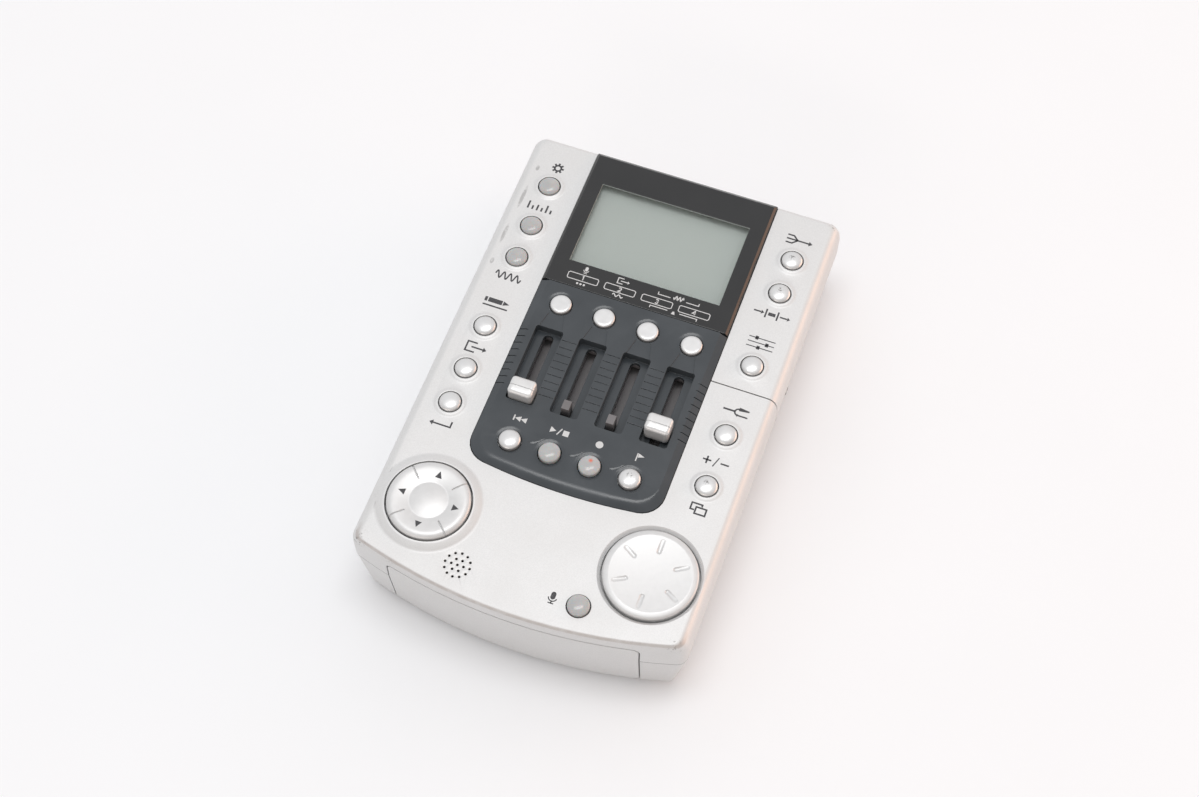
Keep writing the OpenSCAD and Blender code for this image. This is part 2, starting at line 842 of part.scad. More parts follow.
module display_window() {
    color([0.85, 0.9, 0.88])
        block([-view_w / 2 - pane_edge, view_w / 2 + pane_edge],
            [view_y - view_d / 2 - pane_edge, view_y + view_d / 2 + pane_edge], [z_pane, z_pane + pane_t]);
}

module lcd_panel() {
    color([0.62, 0.67, 0.63])
        block([-lcd_hw, lcd_hw], lcd_y, [z_lcd, z_lcd + lcd_t]);
}

module strip_room(gap) {
    hw = lcd_hw - 2 * holder_edge + gap;
    for (y = strip_y)
        block([-hw, hw], [y - strip_t / 2 - gap, y + strip_t / 2 + gap], [z_deck, z_lcd + gap]);
}

module lcd_holder() {
    guide_hw = lcd_hw - 2 * guide_edge;
    guide_y = [strip_y[0] + strip_t / 2 + guide_edge, strip_y[1] - strip_t / 2 - guide_edge];
    color([0.9, 0.9, 0.88])
        difference() {
            block([-holder_hw, holder_hw], holder_y, [z_deck, z_lcd + lcd_t]);
            block([-lcd_hw - fit_gap, lcd_hw + fit_gap], [lcd_y[0] - fit_gap, lcd_y[1] + fit_gap],
                [z_lcd, z_top]);
            strip_room(fit_gap);
            block([-guide_hw, guide_hw], guide_y, [z_lcd - 1.4, z_top]);
        }
}

module lcd_connectors() {
    color([0.85, 0.6, 0.6])
        strip_room(0);
}

module main_board() {
    color([0.1, 0.35, 0.2])
        difference() {
            slab(z_board, board_t, case_plan(wall + 1, front_wall + 0.5, wall + 1));
            for (p = screw_points)
                post(p[0], p[1], z_board - over, z_deck + over, screw_r + slide_gap);
        }
}

module board_chips() {
    color([0.08, 0.08, 0.08])
        for (c = chips)
            translate([c[0], c[1], 0])
                block([-c[2] / 2, c[2] / 2], [-c[3] / 2, c[3] / 2], [z_deck, z_deck + chip_h]);
}

module tact_switches() {
    color([0.15, 0.15, 0.16])
        for (k = keys)
            difference() {
                translate([k[1], k[2], 0])
                    block([-switch_w / 2, switch_w / 2], [-switch_w / 2, switch_w / 2], [z_deck, z_switch]);
                post(k[1], k[2], z_switch - key_reach - key_travel - slide_gap, z_switch + over,
                    key_stem_r + slide_gap);
            }
}

module fader_tracks() {
    shoe_hw = shoe_w / 2 + slide_gap;
    color([0.7, 0.71, 0.72])
        for (x = fader_x)
            translate([x, 0, 0])
                difference() {
                    block([-track_w / 2, track_w / 2], [track_front, track_rear], [z_deck, z_track]);
                    block([-shoe_hw, shoe_hw], [track_front + track_end, track_rear - track_end],
                        [z_shoe - slide_gap, z_shoe + shoe_t + slide_gap]);
                    block([-slot_w / 2, slot_w / 2], [slot_front, slot_rear], [z_shoe, z_track + over]);
                }
}

module encoder_body() {
    color([0.2, 0.2, 0.21])
        difference() {
            translate([dial_x, dial_y, 0])
                block([-encoder_w / 2, encoder_w / 2], [-encoder_w / 2, encoder_w / 2], [z_deck, z_encoder]);
            post(dial_x, dial_y, z_deck + 0.8, z_encoder + over, shaft_r + shaft_gap);
        }
}

module mic_capsule() {
    color([0.6, 0.6, 0.6])
        post(-mic_x, mic_y, z_deck, z_in - 0.3, 2.9);
}

module input_jack() {
    color([0.1, 0.1, 0.1])
        difference() {
            union() {
                translate([jack_x, 0, z_jack])
                    block([-jack_w / 2, jack_w / 2], [jack_seat - jack_len, jack_seat],
                        [-jack_h / 2, jack_h / 2]);
                translate([jack_x, jack_seat - skin, z_jack])
                    rotate([-90, 0, 0])
                        cylinder(h = jack_face - jack_seat, r = bush_r);
            }
            translate([jack_x, jack_face - plug_depth, z_jack])
                rotate([-90, 0, 0])
                    cylinder(h = plug_depth + over, r = plug_r);
        }
}

module input_jack_nut() {
    color([0.7, 0.7, 0.72])
        translate([jack_x, jack_face - nut_t, z_jack])
            rotate([-90, 0, 0])
                difference() {
                    cylinder(h = nut_t, r = nut_r, $fn = 6);
                    translate([0, 0, -over])
                        cylinder(h = nut_t + 2 * over, r = bush_r + shaft_gap);
                }
}

// Small socket with a square body and a round nose through the rear wall
module socket_body(x, w, nose_r, bore_r, depth) {
    difference() {
        union() {
            translate([x, 0, z_mini])
                block([-w / 2, w / 2], [wall_in - mini_len, wall_in - 0.2], [-w / 2, z_board - z_mini]);
            translate([x, wall_in - 1, z_mini])
                rotate([-90, 0, 0])
                    cylinder(h = jack_face - wall_in + 1, r = nose_r);
        }
        translate([x, jack_face - depth, z_mini])
            rotate([-90, 0, 0])
                cylinder(h = depth + over, r = bore_r);
    }
}

module mini_jacks() {
    color([0.12, 0.12, 0.12])
        for (x = mini_x)
            socket_body(x, mini_w, mini_nose_r, mini_r, plug_depth - 2);
}

module dc_jack() {
    depth = 9;
    color([0.12, 0.12, 0.12]) {
        socket_body(dc_x, dc_w, dc_nose_r, dc_bore_r, depth);
        translate([dc_x, jack_face - depth - 0.5, z_mini])
            rotate([-90, 0, 0])
                cylinder(h = depth - 0.5, r = dc_pin_r);
    }
}

module card_socket() {
    w = socket_hw - socket_t;
    end = card_end + card_l;
    color([0.75, 0.75, 0.76])
        difference() {
            block([card_end + 1.4, end + 2], [card_y - socket_hw, card_y + socket_hw],
                [z_card - slide_gap - socket_t, z_board]);
            block([card_end, end + slide_gap], [card_y - w, card_y + w],
                [z_card - slide_gap, z_card + card_t + slide_gap]);
        }
}

module power_switch_body() {
    foot_hw = (knob_w + 1.4 + throw) / 2 + slide_gap;
    knob_hw = (knob_w + throw) / 2 + slide_gap;
    y0 = wall_in - 5;
    color([0.72, 0.72, 0.73])
        difference() {
            block([switch_x - foot_hw - 1.2, switch_x + foot_hw + 1.2], [y0 - 1, wall_in - 0.3],
                [z_mini - 3.4, z_board]);
            block([switch_x - foot_hw, switch_x + foot_hw], [y0, y0 + 2.2],
                [z_mini - knob_w / 2 - 0.7, z_mini + knob_w / 2 + 0.7]);
            block([switch_x - knob_hw, switch_x + knob_hw], [y0, rear_y],
                [z_mini - knob_w / 2 - slide_gap, z_mini + knob_w / 2 + slide_gap]);
        }
}

module volume_pot() {
    color([0.2, 0.2, 0.22])
        difference() {
            translate([wheel_x, wheel_y, 0])
                block([-pot_hw, pot_hw], [-pot_hw, pot_hw], [z_wheel + wheel_t + slide_gap, z_board]);
            post(wheel_x, wheel_y, z_wheel, z_board - 0.4, pot_shaft_r + shaft_gap);
        }
}

// Flat plates at one end of each cell, plates with a stepped spring at the other
module battery_contacts() {
    plate_hw = 5;
    z0 = z_cell + 2.2;
    z1 = z_cell + cell_d - 2.2;
    z_mid = z_cell + cell_d / 2;
    color([0.75, 0.76, 0.78])
        for (x = cell_x) {
            translate([x, 0, 0]) {
                block([-plate_hw, plate_hw], [bay_front + 1, bay_front + 1 + bay_plate], [z0, z1]);
                block([-plate_hw, plate_hw], [bay_rear - bay_plate, bay_rear], [z0, z1]);
                translate([0, bay_rear - bay_plate + skin, z_mid])
                    rotate([90, 0, 0])
                        cylinder(h = spring_l - fit_gap, r1 = 4.6, r2 = 2.8);
            }
        }
}

module battery_cells() {
    nub = 1.2;
    color([0.2, 0.25, 0.4])
        for (i = [0:3])
            translate([cell_x[i], cell_front + cell_len / 2, z_cell + cell_d / 2])
                rotate([90, 0, i % 2 * 180])
                    translate([0, 0, -cell_len / 2]) {
                        cylinder(h = cell_len - nub, r = cell_d / 2);
                        cylinder(h = cell_len, r = 2.7);
                    }
}

module case_screws() {
    color([0.3, 0.3, 0.31])
        for (p = screw_points) {
            difference() {
                post(p[0], p[1], z_head - head_h, z_head, head_r);
                translate([p[0], p[1], 0]) {
                    block([-1.3, 1.3], [-0.25, 0.25], [0, z_head - head_h + 0.6]);
                    block([-0.25, 0.25], [-1.3, 1.3], [0, z_head - head_h + 0.6]);
                }
            }
            post(p[0], p[1], z_head - skin, z_in - 0.8, screw_r);
        }
}

module rubber_feet() {
    color([0.12, 0.12, 0.12])
        for (p = foot_points)
            post(p[0], p[1], 0, foot_h + 0.5, foot_r);
}

module key(k) {
    z_tip = z_switch - key_reach;
    z_crown = k[3] + (k[4] == "flat" ? status_rise : key_rise);
    z_edge = k[3] + 0.4;
    crown = k[4] == "flat"
        ? [[key_r, z_crown - 0.35], [key_r - 0.35, z_crown]]
        : [for (a = [0:10:80]) [key_r * cos(a), z_edge + (z_crown - z_edge) * sin(a)]];
    profile = concat(
        [[0, z_tip], [key_stem_r, z_tip], [key_stem_r, z_flange], [flange_r, z_flange]],
        [[flange_r, z_flange + flange_t], [key_r, z_flange + flange_t]],
        crown,
        [[0, z_crown]]
    );
    color([0.8, 0.8, 0.79])
        translate([k[1], k[2], 0])
            rotate_extrude()
                polygon(profile);
}

module fader_lever(i) {
    color([0.4, 0.39, 0.39])
        translate([fader_x[i], fader_y[i], 0]) {
            block([-stem_w / 2, stem_w / 2], [-stem_l / 2, stem_l / 2], [z_shoe, z_stem]);
            block([-shoe_w / 2, shoe_w / 2], [-shoe_l / 2, shoe_l / 2], [z_shoe, z_shoe + shoe_t]);
        }
}

// Pillow-shaped cap: two crossed profiles, a grip groove and a socket for the stem
module fader_cap(i) {
    hl = cap_l / 2;
    hw = cap_w / 2;
    side = [[-hl, z_cap_low], [hl, z_cap_low], [hl, z_cap - 1.6], [hl - 0.5, z_cap - 0.5],
        [hl - 1.3, z_cap - 0.1], [0, z_cap], [1.3 - hl, z_cap - 0.1], [0.5 - hl, z_cap - 0.5],
        [-hl, z_cap - 1.6]];
    face = [[-hw, z_cap_low], [hw, z_cap_low], [hw, z_cap - 1.2], [hw - 0.5, z_cap - 0.3],
        [hw - 1.1, z_cap], [1.1 - hw, z_cap], [0.5 - hw, z_cap - 0.3], [-hw, z_cap - 1.2]];
    color([0.84, 0.84, 0.83])
        translate([fader_x[i], fader_y[i], 0])
            difference() {
                intersection() {
                    rotate([90, 0, 90])
                        translate([0, 0, -hw])
                            linear_extrude(cap_w)
                                polygon(side);
                    rotate([90, 0, 0])
                        translate([0, 0, -hl])
                            linear_extrude(cap_l)
                                polygon(face);
                }
                block([-hw, hw], [-0.18, 0.18], [z_cap - 0.35, z_cap + over]);
                block([-stem_w / 2 - shaft_gap, stem_w / 2 + shaft_gap],
                    [-stem_l / 2 - shaft_gap, stem_l / 2 + shaft_gap], [z_cap_low - over, z_stem + shaft_gap]);
            }
}

// Dished dial with a raised rim and six finger grooves
module jog_dial() {
    z1 = z_top + dial_rise;
    dish_r = dial_r - dial_rim;
    dish = [for (i = [0:6]) [dish_r * (1 - i / 6), z1 - 0.4 * (1 - pow(1 - i / 6, 2))]];
    profile = concat(
        [[0, z_dial], [dial_r, z_dial], [dial_r, z1 - 1], [dial_r - 0.25, z1 - 0.5], [dial_r - 0.7, z1 - 0.15]],
        dish
    );
    color([0.86, 0.86, 0.85])
        translate([dial_x, dial_y, 0])
            difference() {
                rotate_extrude($fn = 96)
                    polygon(profile);
                post(0, 0, z_dial - over, z_shaft, shaft_r + shaft_gap);
                for (i = [0:dial_grooves - 1])
                    rotate(30 + i * 360 / dial_grooves)
                        translate([0, 0, z1 - 0.65]) {
                            block([6, 8.8], [-0.5, 0.5], [0, over]);
                            post(6, 0, 0, over, 0.5);
                            post(8.8, 0, 0, over, 0.5);
                        }
            }
}

module encoder_shaft() {
    color([0.7, 0.7, 0.72])
        post(dial_x, dial_y, z_deck + 1.1, z_shaft - shaft_gap, shaft_r);
}

// Four-way pad: dished ring, raised middle, retaining flange and hub
module cursor_pad() {
    z1 = z_top + pad_rise;
    dome = [for (i = [0:5]) [pad_dome_r * (1 - i / 5), z1 - 0.7 + 0.6 * (1 - pow(1 - i / 5, 2))]];
    profile = concat(
        [[0, z_pad_flange - 0.4], [3, z_pad_flange - 0.4], [3, z_pad_flange], [pad_flange_r, z_pad_flange]],
        [[pad_flange_r, z_pad_flange + 0.8], [pad_r, z_pad_flange + 0.8]],
        [[pad_r, z1 - 1], [pad_r - 0.4, z1 - 0.4], [pad_r - 1, z1 - 0.05], [pad_r - 1.6, z1]],
        dome
    );
    color([0.86, 0.86, 0.85])
        translate([pad_x, pad_y, 0])
            difference() {
                rotate_extrude($fn = 96)
                    polygon(profile);
                for (a = [45:90:315])
                    rotate(a)
                        block([pad_dome_r + 1.6, pad_r + over], [-0.15, 0.15], [z1 - 0.6, z1 + over]);
            }
}

// Spring mat under the pad: a disc with four contact feet
module cursor_rubber() {
    color([0.3, 0.3, 0.3])
        translate([pad_x, pad_y, 0]) {
            post(0, 0, z_rubber, z_rubber + rubber_t, rubber_r);
            for (a = [0:90:270])
                rotate(a)
                    post(rubber_r - 2.2, 0, z_deck + 0.7, z_rubber + skin, 1.6);
        }
}

module volume_wheel() {
    color([0.3, 0.3, 0.31])
        translate([wheel_x, wheel_y, 0]) {
            difference() {
                post(0, 0, z_wheel, z_wheel + wheel_t, wheel_r);
                for (i = [0:knurl_count - 1])
                    rotate(i * 360 / knurl_count)
                        post(wheel_r + 0.2, 0, z_wheel - over, z_wheel + wheel_t + over, 0.45);
            }
            post(0, 0, z_wheel + wheel_t - skin, z_board - 0.7, pot_shaft_r);
        }
}

module power_slider() {
    y0 = wall_in - 5 + slide_gap;
    off = switch_x - throw / 2;
    hz = knob_w / 2;
    color([0.15, 0.15, 0.15]) {
        block([off - knob_w / 2 - 0.7, off + knob_w / 2 + 0.7], [y0, y0 + 1.6],
            [z_mini - hz - 0.4, z_mini + hz + 0.4]);
        block([off - knob_w / 2, off + knob_w / 2], [y0 + 1.6 - skin, rear_y - 0.2], [z_mini - hz, z_mini + hz]);
    }
}

module memory_card() {
    color([0.1, 0.1, 0.11])
        difference() {
            block([card_end, card_end + card_l], [card_y - card_w / 2, card_y + card_w / 2],
                [z_card, z_card + card_t]);
            translate([card_end + card_l, card_y + card_w / 2, 0])
                rotate(45)
                    block([-2.5, 2.5], [-2.5, 2.5], [0, z_top]);
        }
}

top_case();
right_wing_cover();
bottom_case();
battery_cover();
control_panel();
display_bezel();
display_window();
lcd_panel();
lcd_holder();
lcd_connectors();
main_board();
board_chips();
tact_switches();
fader_tracks();
encoder_body();
mic_capsule();
input_jack();
input_jack_nut();
mini_jacks();
dc_jack();
card_socket();
power_switch_body();
volume_pot();
battery_contacts();
battery_cells();
case_screws();
rubber_feet();
for (k = keys) key(k);
fader_lever(0);  // fader_lever_1
fader_lever(1);  // fader_lever_2
fader_lever(2);  // fader_lever_3
fader_lever(3);  // fader_lever_4
fader_cap(0);  // fader_cap_1
fader_cap(3);  // fader_cap_4
jog_dial();
encoder_shaft();
cursor_pad();
cursor_rubber();
volume_wheel();
power_slider();
memory_card();
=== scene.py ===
"""Looks of a palm-size multitrack recorder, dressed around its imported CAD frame. Metres, +Z up."""

import json
import math

import bmesh
import bpy
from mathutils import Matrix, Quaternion, Vector

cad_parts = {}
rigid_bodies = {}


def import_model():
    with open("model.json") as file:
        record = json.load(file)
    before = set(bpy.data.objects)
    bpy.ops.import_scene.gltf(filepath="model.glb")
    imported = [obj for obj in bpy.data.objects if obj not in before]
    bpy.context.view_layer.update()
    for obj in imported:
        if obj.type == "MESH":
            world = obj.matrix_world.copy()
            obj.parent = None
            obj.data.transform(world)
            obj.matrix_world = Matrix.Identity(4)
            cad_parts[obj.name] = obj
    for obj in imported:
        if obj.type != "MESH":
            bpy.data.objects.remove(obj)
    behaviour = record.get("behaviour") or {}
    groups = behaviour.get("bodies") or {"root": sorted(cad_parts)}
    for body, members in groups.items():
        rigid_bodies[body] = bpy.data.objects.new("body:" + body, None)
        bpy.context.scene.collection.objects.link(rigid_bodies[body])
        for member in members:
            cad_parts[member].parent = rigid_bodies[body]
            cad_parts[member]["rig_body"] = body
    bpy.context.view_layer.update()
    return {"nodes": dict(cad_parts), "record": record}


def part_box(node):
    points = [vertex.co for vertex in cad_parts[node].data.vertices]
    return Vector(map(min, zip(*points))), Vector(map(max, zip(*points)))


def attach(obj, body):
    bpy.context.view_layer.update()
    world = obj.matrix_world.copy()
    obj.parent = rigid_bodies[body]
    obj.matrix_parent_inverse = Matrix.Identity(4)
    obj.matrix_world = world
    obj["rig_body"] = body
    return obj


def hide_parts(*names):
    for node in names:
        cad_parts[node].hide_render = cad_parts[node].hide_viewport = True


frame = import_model()
nodes = frame["nodes"]
scene = bpy.context.scene

MM = 0.001
LEFT_KEYS = [f"left_key_{i}" for i in range(1, 7)]
RIGHT_KEYS = [f"right_key_{i}" for i in range(1, 6)]
STATUS_KEYS = [f"status_key_{i}" for i in range(1, 5)]
TRANSPORT_KEYS = ["rewind_key", "play_key", "record_key", "mark_key"]
LIT_KEYS = ["left_key_1", "left_key_2", "left_key_3", "mic_key", "play_key", "record_key"]
DOME_KEYS = LEFT_KEYS + RIGHT_KEYS + ["mic_key"] + TRANSPORT_KEYS
CAPS = ["fader_cap_1", "fader_cap_4"]

PANEL_RISE = 1.2
PANEL_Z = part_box("control_panel")[1].z / MM
TOP_Z = PANEL_Z - PANEL_RISE


def middle(node):
    """Centre of a CAD node, in millimetres."""
    low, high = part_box(node)
    return (low + high) / 2 / MM


# Camera, at the photograph's viewing angle
CAMERA_AT = Vector((79.8, -219.6, 443.4)) * MM
CAMERA_AIM = Vector((-0.166, 0.452, -0.876))
CAMERA_LENS = 58.0


def add_camera():
    data = bpy.data.cameras.new("camera")
    data.lens = CAMERA_LENS
    data.sensor_width = 36
    data.clip_start = 0.01
    camera = bpy.data.objects.new("camera", data)
    camera.location = CAMERA_AT
    camera.rotation_mode = "QUATERNION"
    camera.rotation_quaternion = CAMERA_AIM.to_track_quat("-Z", "Y")
    scene.collection.objects.link(camera)
    scene.camera = camera


# Materials
SOFT_EDGE = 0.05


class Finish:
    """A material and its nodes. Sizes are in millimetres on the object."""

    def __init__(self, name, **sockets):
        self.material = bpy.data.materials.new(name)
        self.material.use_nodes = True
        self.tree = self.material.node_tree
        self.shader = self.tree.nodes["Principled BSDF"]
        for socket, value in sockets.items():
            self.shader.inputs[socket.replace("_", " ")].default_value = value
        self.place = self.node("ShaderNodeTexCoord").outputs["Object"]

    def node(self, kind, **settings):
        made = self.tree.nodes.new(kind)
        for key, value in settings.items():
            setattr(made, key, value)
        return made

    def link(self, source, socket):
        self.tree.links.new(source, socket)

    def feed(self, socket, source):
        self.link(source, self.shader.inputs[socket])

    def noise(self, size, detail=2.0, stretch=(1, 1, 1)):
        """Noise from 0 to 1, with features of about that size."""
        place = self.node("ShaderNodeMapping")
        place.inputs["Scale"].default_value = stretch
        self.link(self.place, place.inputs["Vector"])
        noise = self.node("ShaderNodeTexNoise")
        noise.inputs["Scale"].default_value = 1 / (size * MM)
        noise.inputs["Detail"].default_value = detail
        self.link(place.outputs["Vector"], noise.inputs["Vector"])
        return noise.outputs["Fac"]

    def spread(self, value, low, high, to_low=0.0, to_high=1.0):
        """Maps low..high to to_low..to_high, held at the ends."""
        scale = self.node("ShaderNodeMapRange")
        for socket, number in zip(scale.inputs[1:5], (low, high, to_low, to_high)):
            socket.default_value = number
        self.link(value, scale.inputs["Value"])
        return scale.outputs["Result"]

    def math(self, operation, first, second=None):
        made = self.node("ShaderNodeMath", operation=operation)
        for socket, value in zip(made.inputs, (first, second)):
            if isinstance(value, (int, float)):
                socket.default_value = value
            elif value is not None:
                self.link(value, socket)
        return made.outputs["Value"]

    def blend(self, share, first, second):
        """Colour that goes from first to second as share goes from 0 to 1."""
        made = self.node("ShaderNodeMix", data_type="RGBA")
        self.link(share, made.inputs["Factor"])
        for socket, colour in zip((made.inputs[6], made.inputs[7]), (first, second)):
            if isinstance(colour, tuple):
                socket.default_value = (*colour, 1)
            else:
                self.link(colour, socket)
        return made.outputs[2]

    def bump(self, height, depth, strength=1.0):
        made = self.node("ShaderNodeBump")
        made.inputs["Distance"].default_value = depth * MM
        made.inputs["Strength"].default_value = strength
        self.link(height, made.inputs["Height"])
        self.feed("Normal", made.outputs["Normal"])

    def inside(self, node, beside, above):
        """1 within a CAD node's box, grown sideways and upwards by those lengths, and 0 outside it."""
        low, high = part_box(node)
        split = self.node("ShaderNodeSeparateXYZ")
        self.link(self.place, split.inputs["Vector"])
        roof = high.z + above * MM
        share = self.spread(split.outputs["Z"], roof, roof + SOFT_EDGE * MM, 1, 0)
        for axis in "XY":
            centre = (getattr(low, axis.lower()) + getattr(high, axis.lower())) / 2
            half = getattr(high, axis.lower()) - centre + beside * MM
            away = self.math("ABSOLUTE", self.math("SUBTRACT", split.outputs[axis], centre))
            share = self.math("MULTIPLY", share, self.spread(away, half, half + SOFT_EDGE * MM, 1, 0))
        return share

    def near(self, point, reach, stretch=(1, 1, 1)):
        """1 at a point, falling to 0 at that reach; stretch lengthens the spot along an axis."""
        offset = self.node("ShaderNodeVectorMath", operation="SUBTRACT")
        self.link(self.place, offset.inputs[0])
        offset.inputs[1].default_value = [c * MM for c in point]
        scaled = self.node("ShaderNodeVectorMath", operation="MULTIPLY")
        self.link(offset.outputs["Vector"], scaled.inputs[0])
        scaled.inputs[1].default_value = [1 / s for s in stretch]
        length = self.node("ShaderNodeVectorMath", operation="LENGTH")
        self.link(scaled.outputs["Vector"], length.inputs[0])
        return self.spread(length.outputs["Value"], 0, reach * MM, 1, 0)


def grey(value):
    return (value, value, value)


def plain_plastic(name, colour, roughness=0.45, grain=0.12, depth=0.012, **sockets):
    """Moulded plastic: slight patches of colour and gloss, and a fine eroded grain."""
    finish = Finish(name, **sockets)
    patches = finish.noise(6, 3)
    darker = tuple(c * 0.88 for c in colour)
    finish.feed("Base Color", finish.blend(finish.spread(patches, 0.35, 0.65), darker, colour))
    finish.feed("Roughness", finish.spread(patches, 0.3, 0.7, roughness - 0.04, roughness + 0.05))
    finish.bump(finish.noise(grain, 1), depth)
    return finish.material


# Wear that the photograph shows: rubbed dashes (x, y, half length), chips (place, reach), a worn front
# edge and worn keys. Also a painted glow: a red speck of light painted on a key
RUB_HALF = 0.55
RUBS = [(-38.8, 45.2, 4.1), (-39.1, 33.0, 3.4), (-39.0, 24.0, 1.1), (-38.4, 55.0, 1.0)]
RUBBED = (0.30, 0.295, 0.29)
CHIPS = [
    ((41.0, 64.4, 25.6), 2.6),
    ((39.4, -59.6, 25.9), 2.6),
    ((-40.0, -59.4, 25.6), 3.0),
    ((-31.0, -63.2, 25.6), 2.2),
]
CHIPPED = (0.22, 0.21, 0.2)
EDGE_FRONT = -58
EDGE_FADE = 3
EDGE_DROP = 0.5
EDGE_HALF = 0.5
EDGE_WEAR = 0.5
EDGE_TONE = (0.40, 0.335, 0.30)
WORN_KEYS = ["right_key_1", "right_key_2", "right_key_5", "mark_key"]
SMUDGE_SHIFT = Vector((-0.2, 0.5))
SMUDGE_REACH = 1.1
PAINTED_GLOW_SHIFT = Vector((0.0, 1.0))
PAINTED_GLOW_REACH = 0.8

# Dark places of the case: the joint of its halves, and painted shade on the walls of the grille holes
SEAM_Z = 16.5
SEAM_HALF = 0.16
SEAM_DARK = (0.10, 0.098, 0.095)
GRILLE_SHADE_DROP = 1.0
GRILLE_SHADE_REACH = 0.8
GRILLE_SHADE_SPREAD = (6, 6, 1)


def silver_paint(name, joint_line):
    """Silver metallic paint with fine flake and the case's wear, dark in its joint, with painted shade in
    its grille holes.
    """
    finish = Finish(name, Metallic=0.35)
    flake = finish.noise(0.22, 1)
    cloud = finish.noise(14, 3)
    paint = finish.blend(finish.spread(flake, 0.35, 0.65), grey(0.665), grey(0.715))
    paint = finish.blend(finish.spread(cloud, 0.4, 0.7, 0, 0.3), paint, (0.665, 0.66, 0.65))
    speck = finish.spread(finish.noise(0.7, 4), 0.55, 0.66)
    for point, reach in CHIPS:
        chip = finish.math("MULTIPLY", finish.spread(finish.near(point, reach), 0, 0.7, 0, 0.8), speck)
        paint = finish.blend(chip, paint, CHIPPED)
    rub = finish.spread(finish.noise(1.2, 3), 0.25, 0.5)
    for x, y, half in RUBS:
        spot = finish.near((x, y, TOP_Z), RUB_HALF, (1, half / RUB_HALF, 4))
        share = finish.math("MULTIPLY", finish.spread(spot, 0, 0.35, 0, 0.6), rub)
        paint = finish.blend(share, paint, RUBBED)
    split = finish.node("ShaderNodeSeparateXYZ")
    finish.link(finish.place, split.inputs["Vector"])

    def band(height, half, share):
        """Share at that height, falling to 0 at half a band's width from it."""
        away = finish.math("ABSOLUTE", finish.math("SUBTRACT", split.outputs["Z"], height * MM))
        return finish.spread(away, half / 2 * MM, half * MM, share, 0)

    if joint_line:
        paint = finish.blend(band(SEAM_Z, SEAM_HALF, 0.8), paint, SEAM_DARK)
    front = finish.spread(split.outputs["Y"], EDGE_FRONT * MM, (EDGE_FRONT + EDGE_FADE) * MM, 1, 0)
    edge = finish.math("MULTIPLY", band(TOP_Z - EDGE_DROP, EDGE_HALF, EDGE_WEAR), front)
    edge = finish.math("MULTIPLY", edge, finish.spread(finish.noise(2.2, 3), 0.3, 0.6, 0.55, 1))
    paint = finish.blend(edge, paint, EDGE_TONE)
    # Painted shade: the walls of the grille holes are darkened almost to black, as the shade that falls in
    # them.
    grille = middle("mic_capsule")
    hole_painted_shade = finish.near((grille.x, grille.y, TOP_Z - GRILLE_SHADE_DROP), GRILLE_SHADE_REACH, GRILLE_SHADE_SPREAD)
    paint = finish.blend(finish.spread(hole_painted_shade, 0, 0.15), paint, grey(0.008))
    finish.feed("Base Color", paint)
    finish.feed("Roughness", finish.spread(cloud, 0.3, 0.7, 0.44, 0.52))
    finish.bump(flake, 0.002)
    return finish.material


def silver_key_paint(name, smudges=(), metallic=0.7, roughness=0.33, shade=0.73):
    """Smoother silver paint; smudges are the middles of keys whose paint is worn."""
    finish = Finish(name, Metallic=metallic)
    cloud = finish.noise(1.5)
    paint = finish.blend(finish.spread(cloud, 0.3, 0.7), grey(shade - 0.02), grey(shade + 0.01))
    speck = finish.spread(finish.noise(0.5, 2), 0.5, 0.62)
    for point in smudges:
        smudge = finish.spread(finish.near(point, SMUDGE_REACH), 0.1, 0.7, 0, 0.8)
        share = finish.math("MULTIPLY", smudge, speck)
        paint = finish.blend(share, paint, (0.13, 0.12, 0.115))
    finish.feed("Base Color", paint)
    finish.feed("Roughness", finish.spread(cloud, 0.3, 0.7, roughness - 0.03, roughness + 0.03))
    return finish.material


def lit_key_plastic(name, painted_glow=None):
    """Grey key that lets a lamp below it shine through: milky, with a polished skin; a painted glow is a
    red spot of light painted into its colour.
    """
    finish = Finish(name, Roughness=0.15, Subsurface_Weight=0.2, Subsurface_Scale=0.0012)
    cloud = finish.noise(2.5)
    colour = finish.blend(finish.spread(cloud, 0.3, 0.7), (0.43, 0.435, 0.435), (0.47, 0.475, 0.475))
    # Painted glow: a red spot of light painted into the key's colour, not a lamp.
    if painted_glow:
        spot = finish.spread(finish.near(painted_glow, PAINTED_GLOW_REACH), 0.1, 0.8, 0, 0.85)
        colour = finish.blend(spot, colour, (0.75, 0.13, 0.05))
    finish.feed("Base Color", colour)
    return finish.material


PANEL_EDGE = 0.16


def panel_plastic():
    """Blue-grey moulded panel, its edges rounded in the shading alone."""
    finish = Finish("panel_plastic")
    patches = finish.noise(9, 4)
    share = finish.spread(patches, 0.35, 0.7)
    finish.feed("Base Color", finish.blend(share, (0.043, 0.050, 0.057), (0.054, 0.062, 0.070)))
    finish.feed("Roughness", finish.spread(patches, 0.3, 0.7, 0.2, 0.27))
    edge = finish.node("ShaderNodeBevel", samples=6)
    edge.inputs["Radius"].default_value = PANEL_EDGE * MM
    finish.bump(finish.noise(0.14, 1), 0.004)
    bump = finish.shader.inputs["Normal"].links[0].from_node
    finish.link(edge.outputs["Normal"], bump.inputs["Normal"])
    return finish.material


# Reach of the painted light on the bezel's walls around the pane
PAINTED_WALL_BESIDE = 0.25
PAINTED_WALL_ABOVE = 0.32


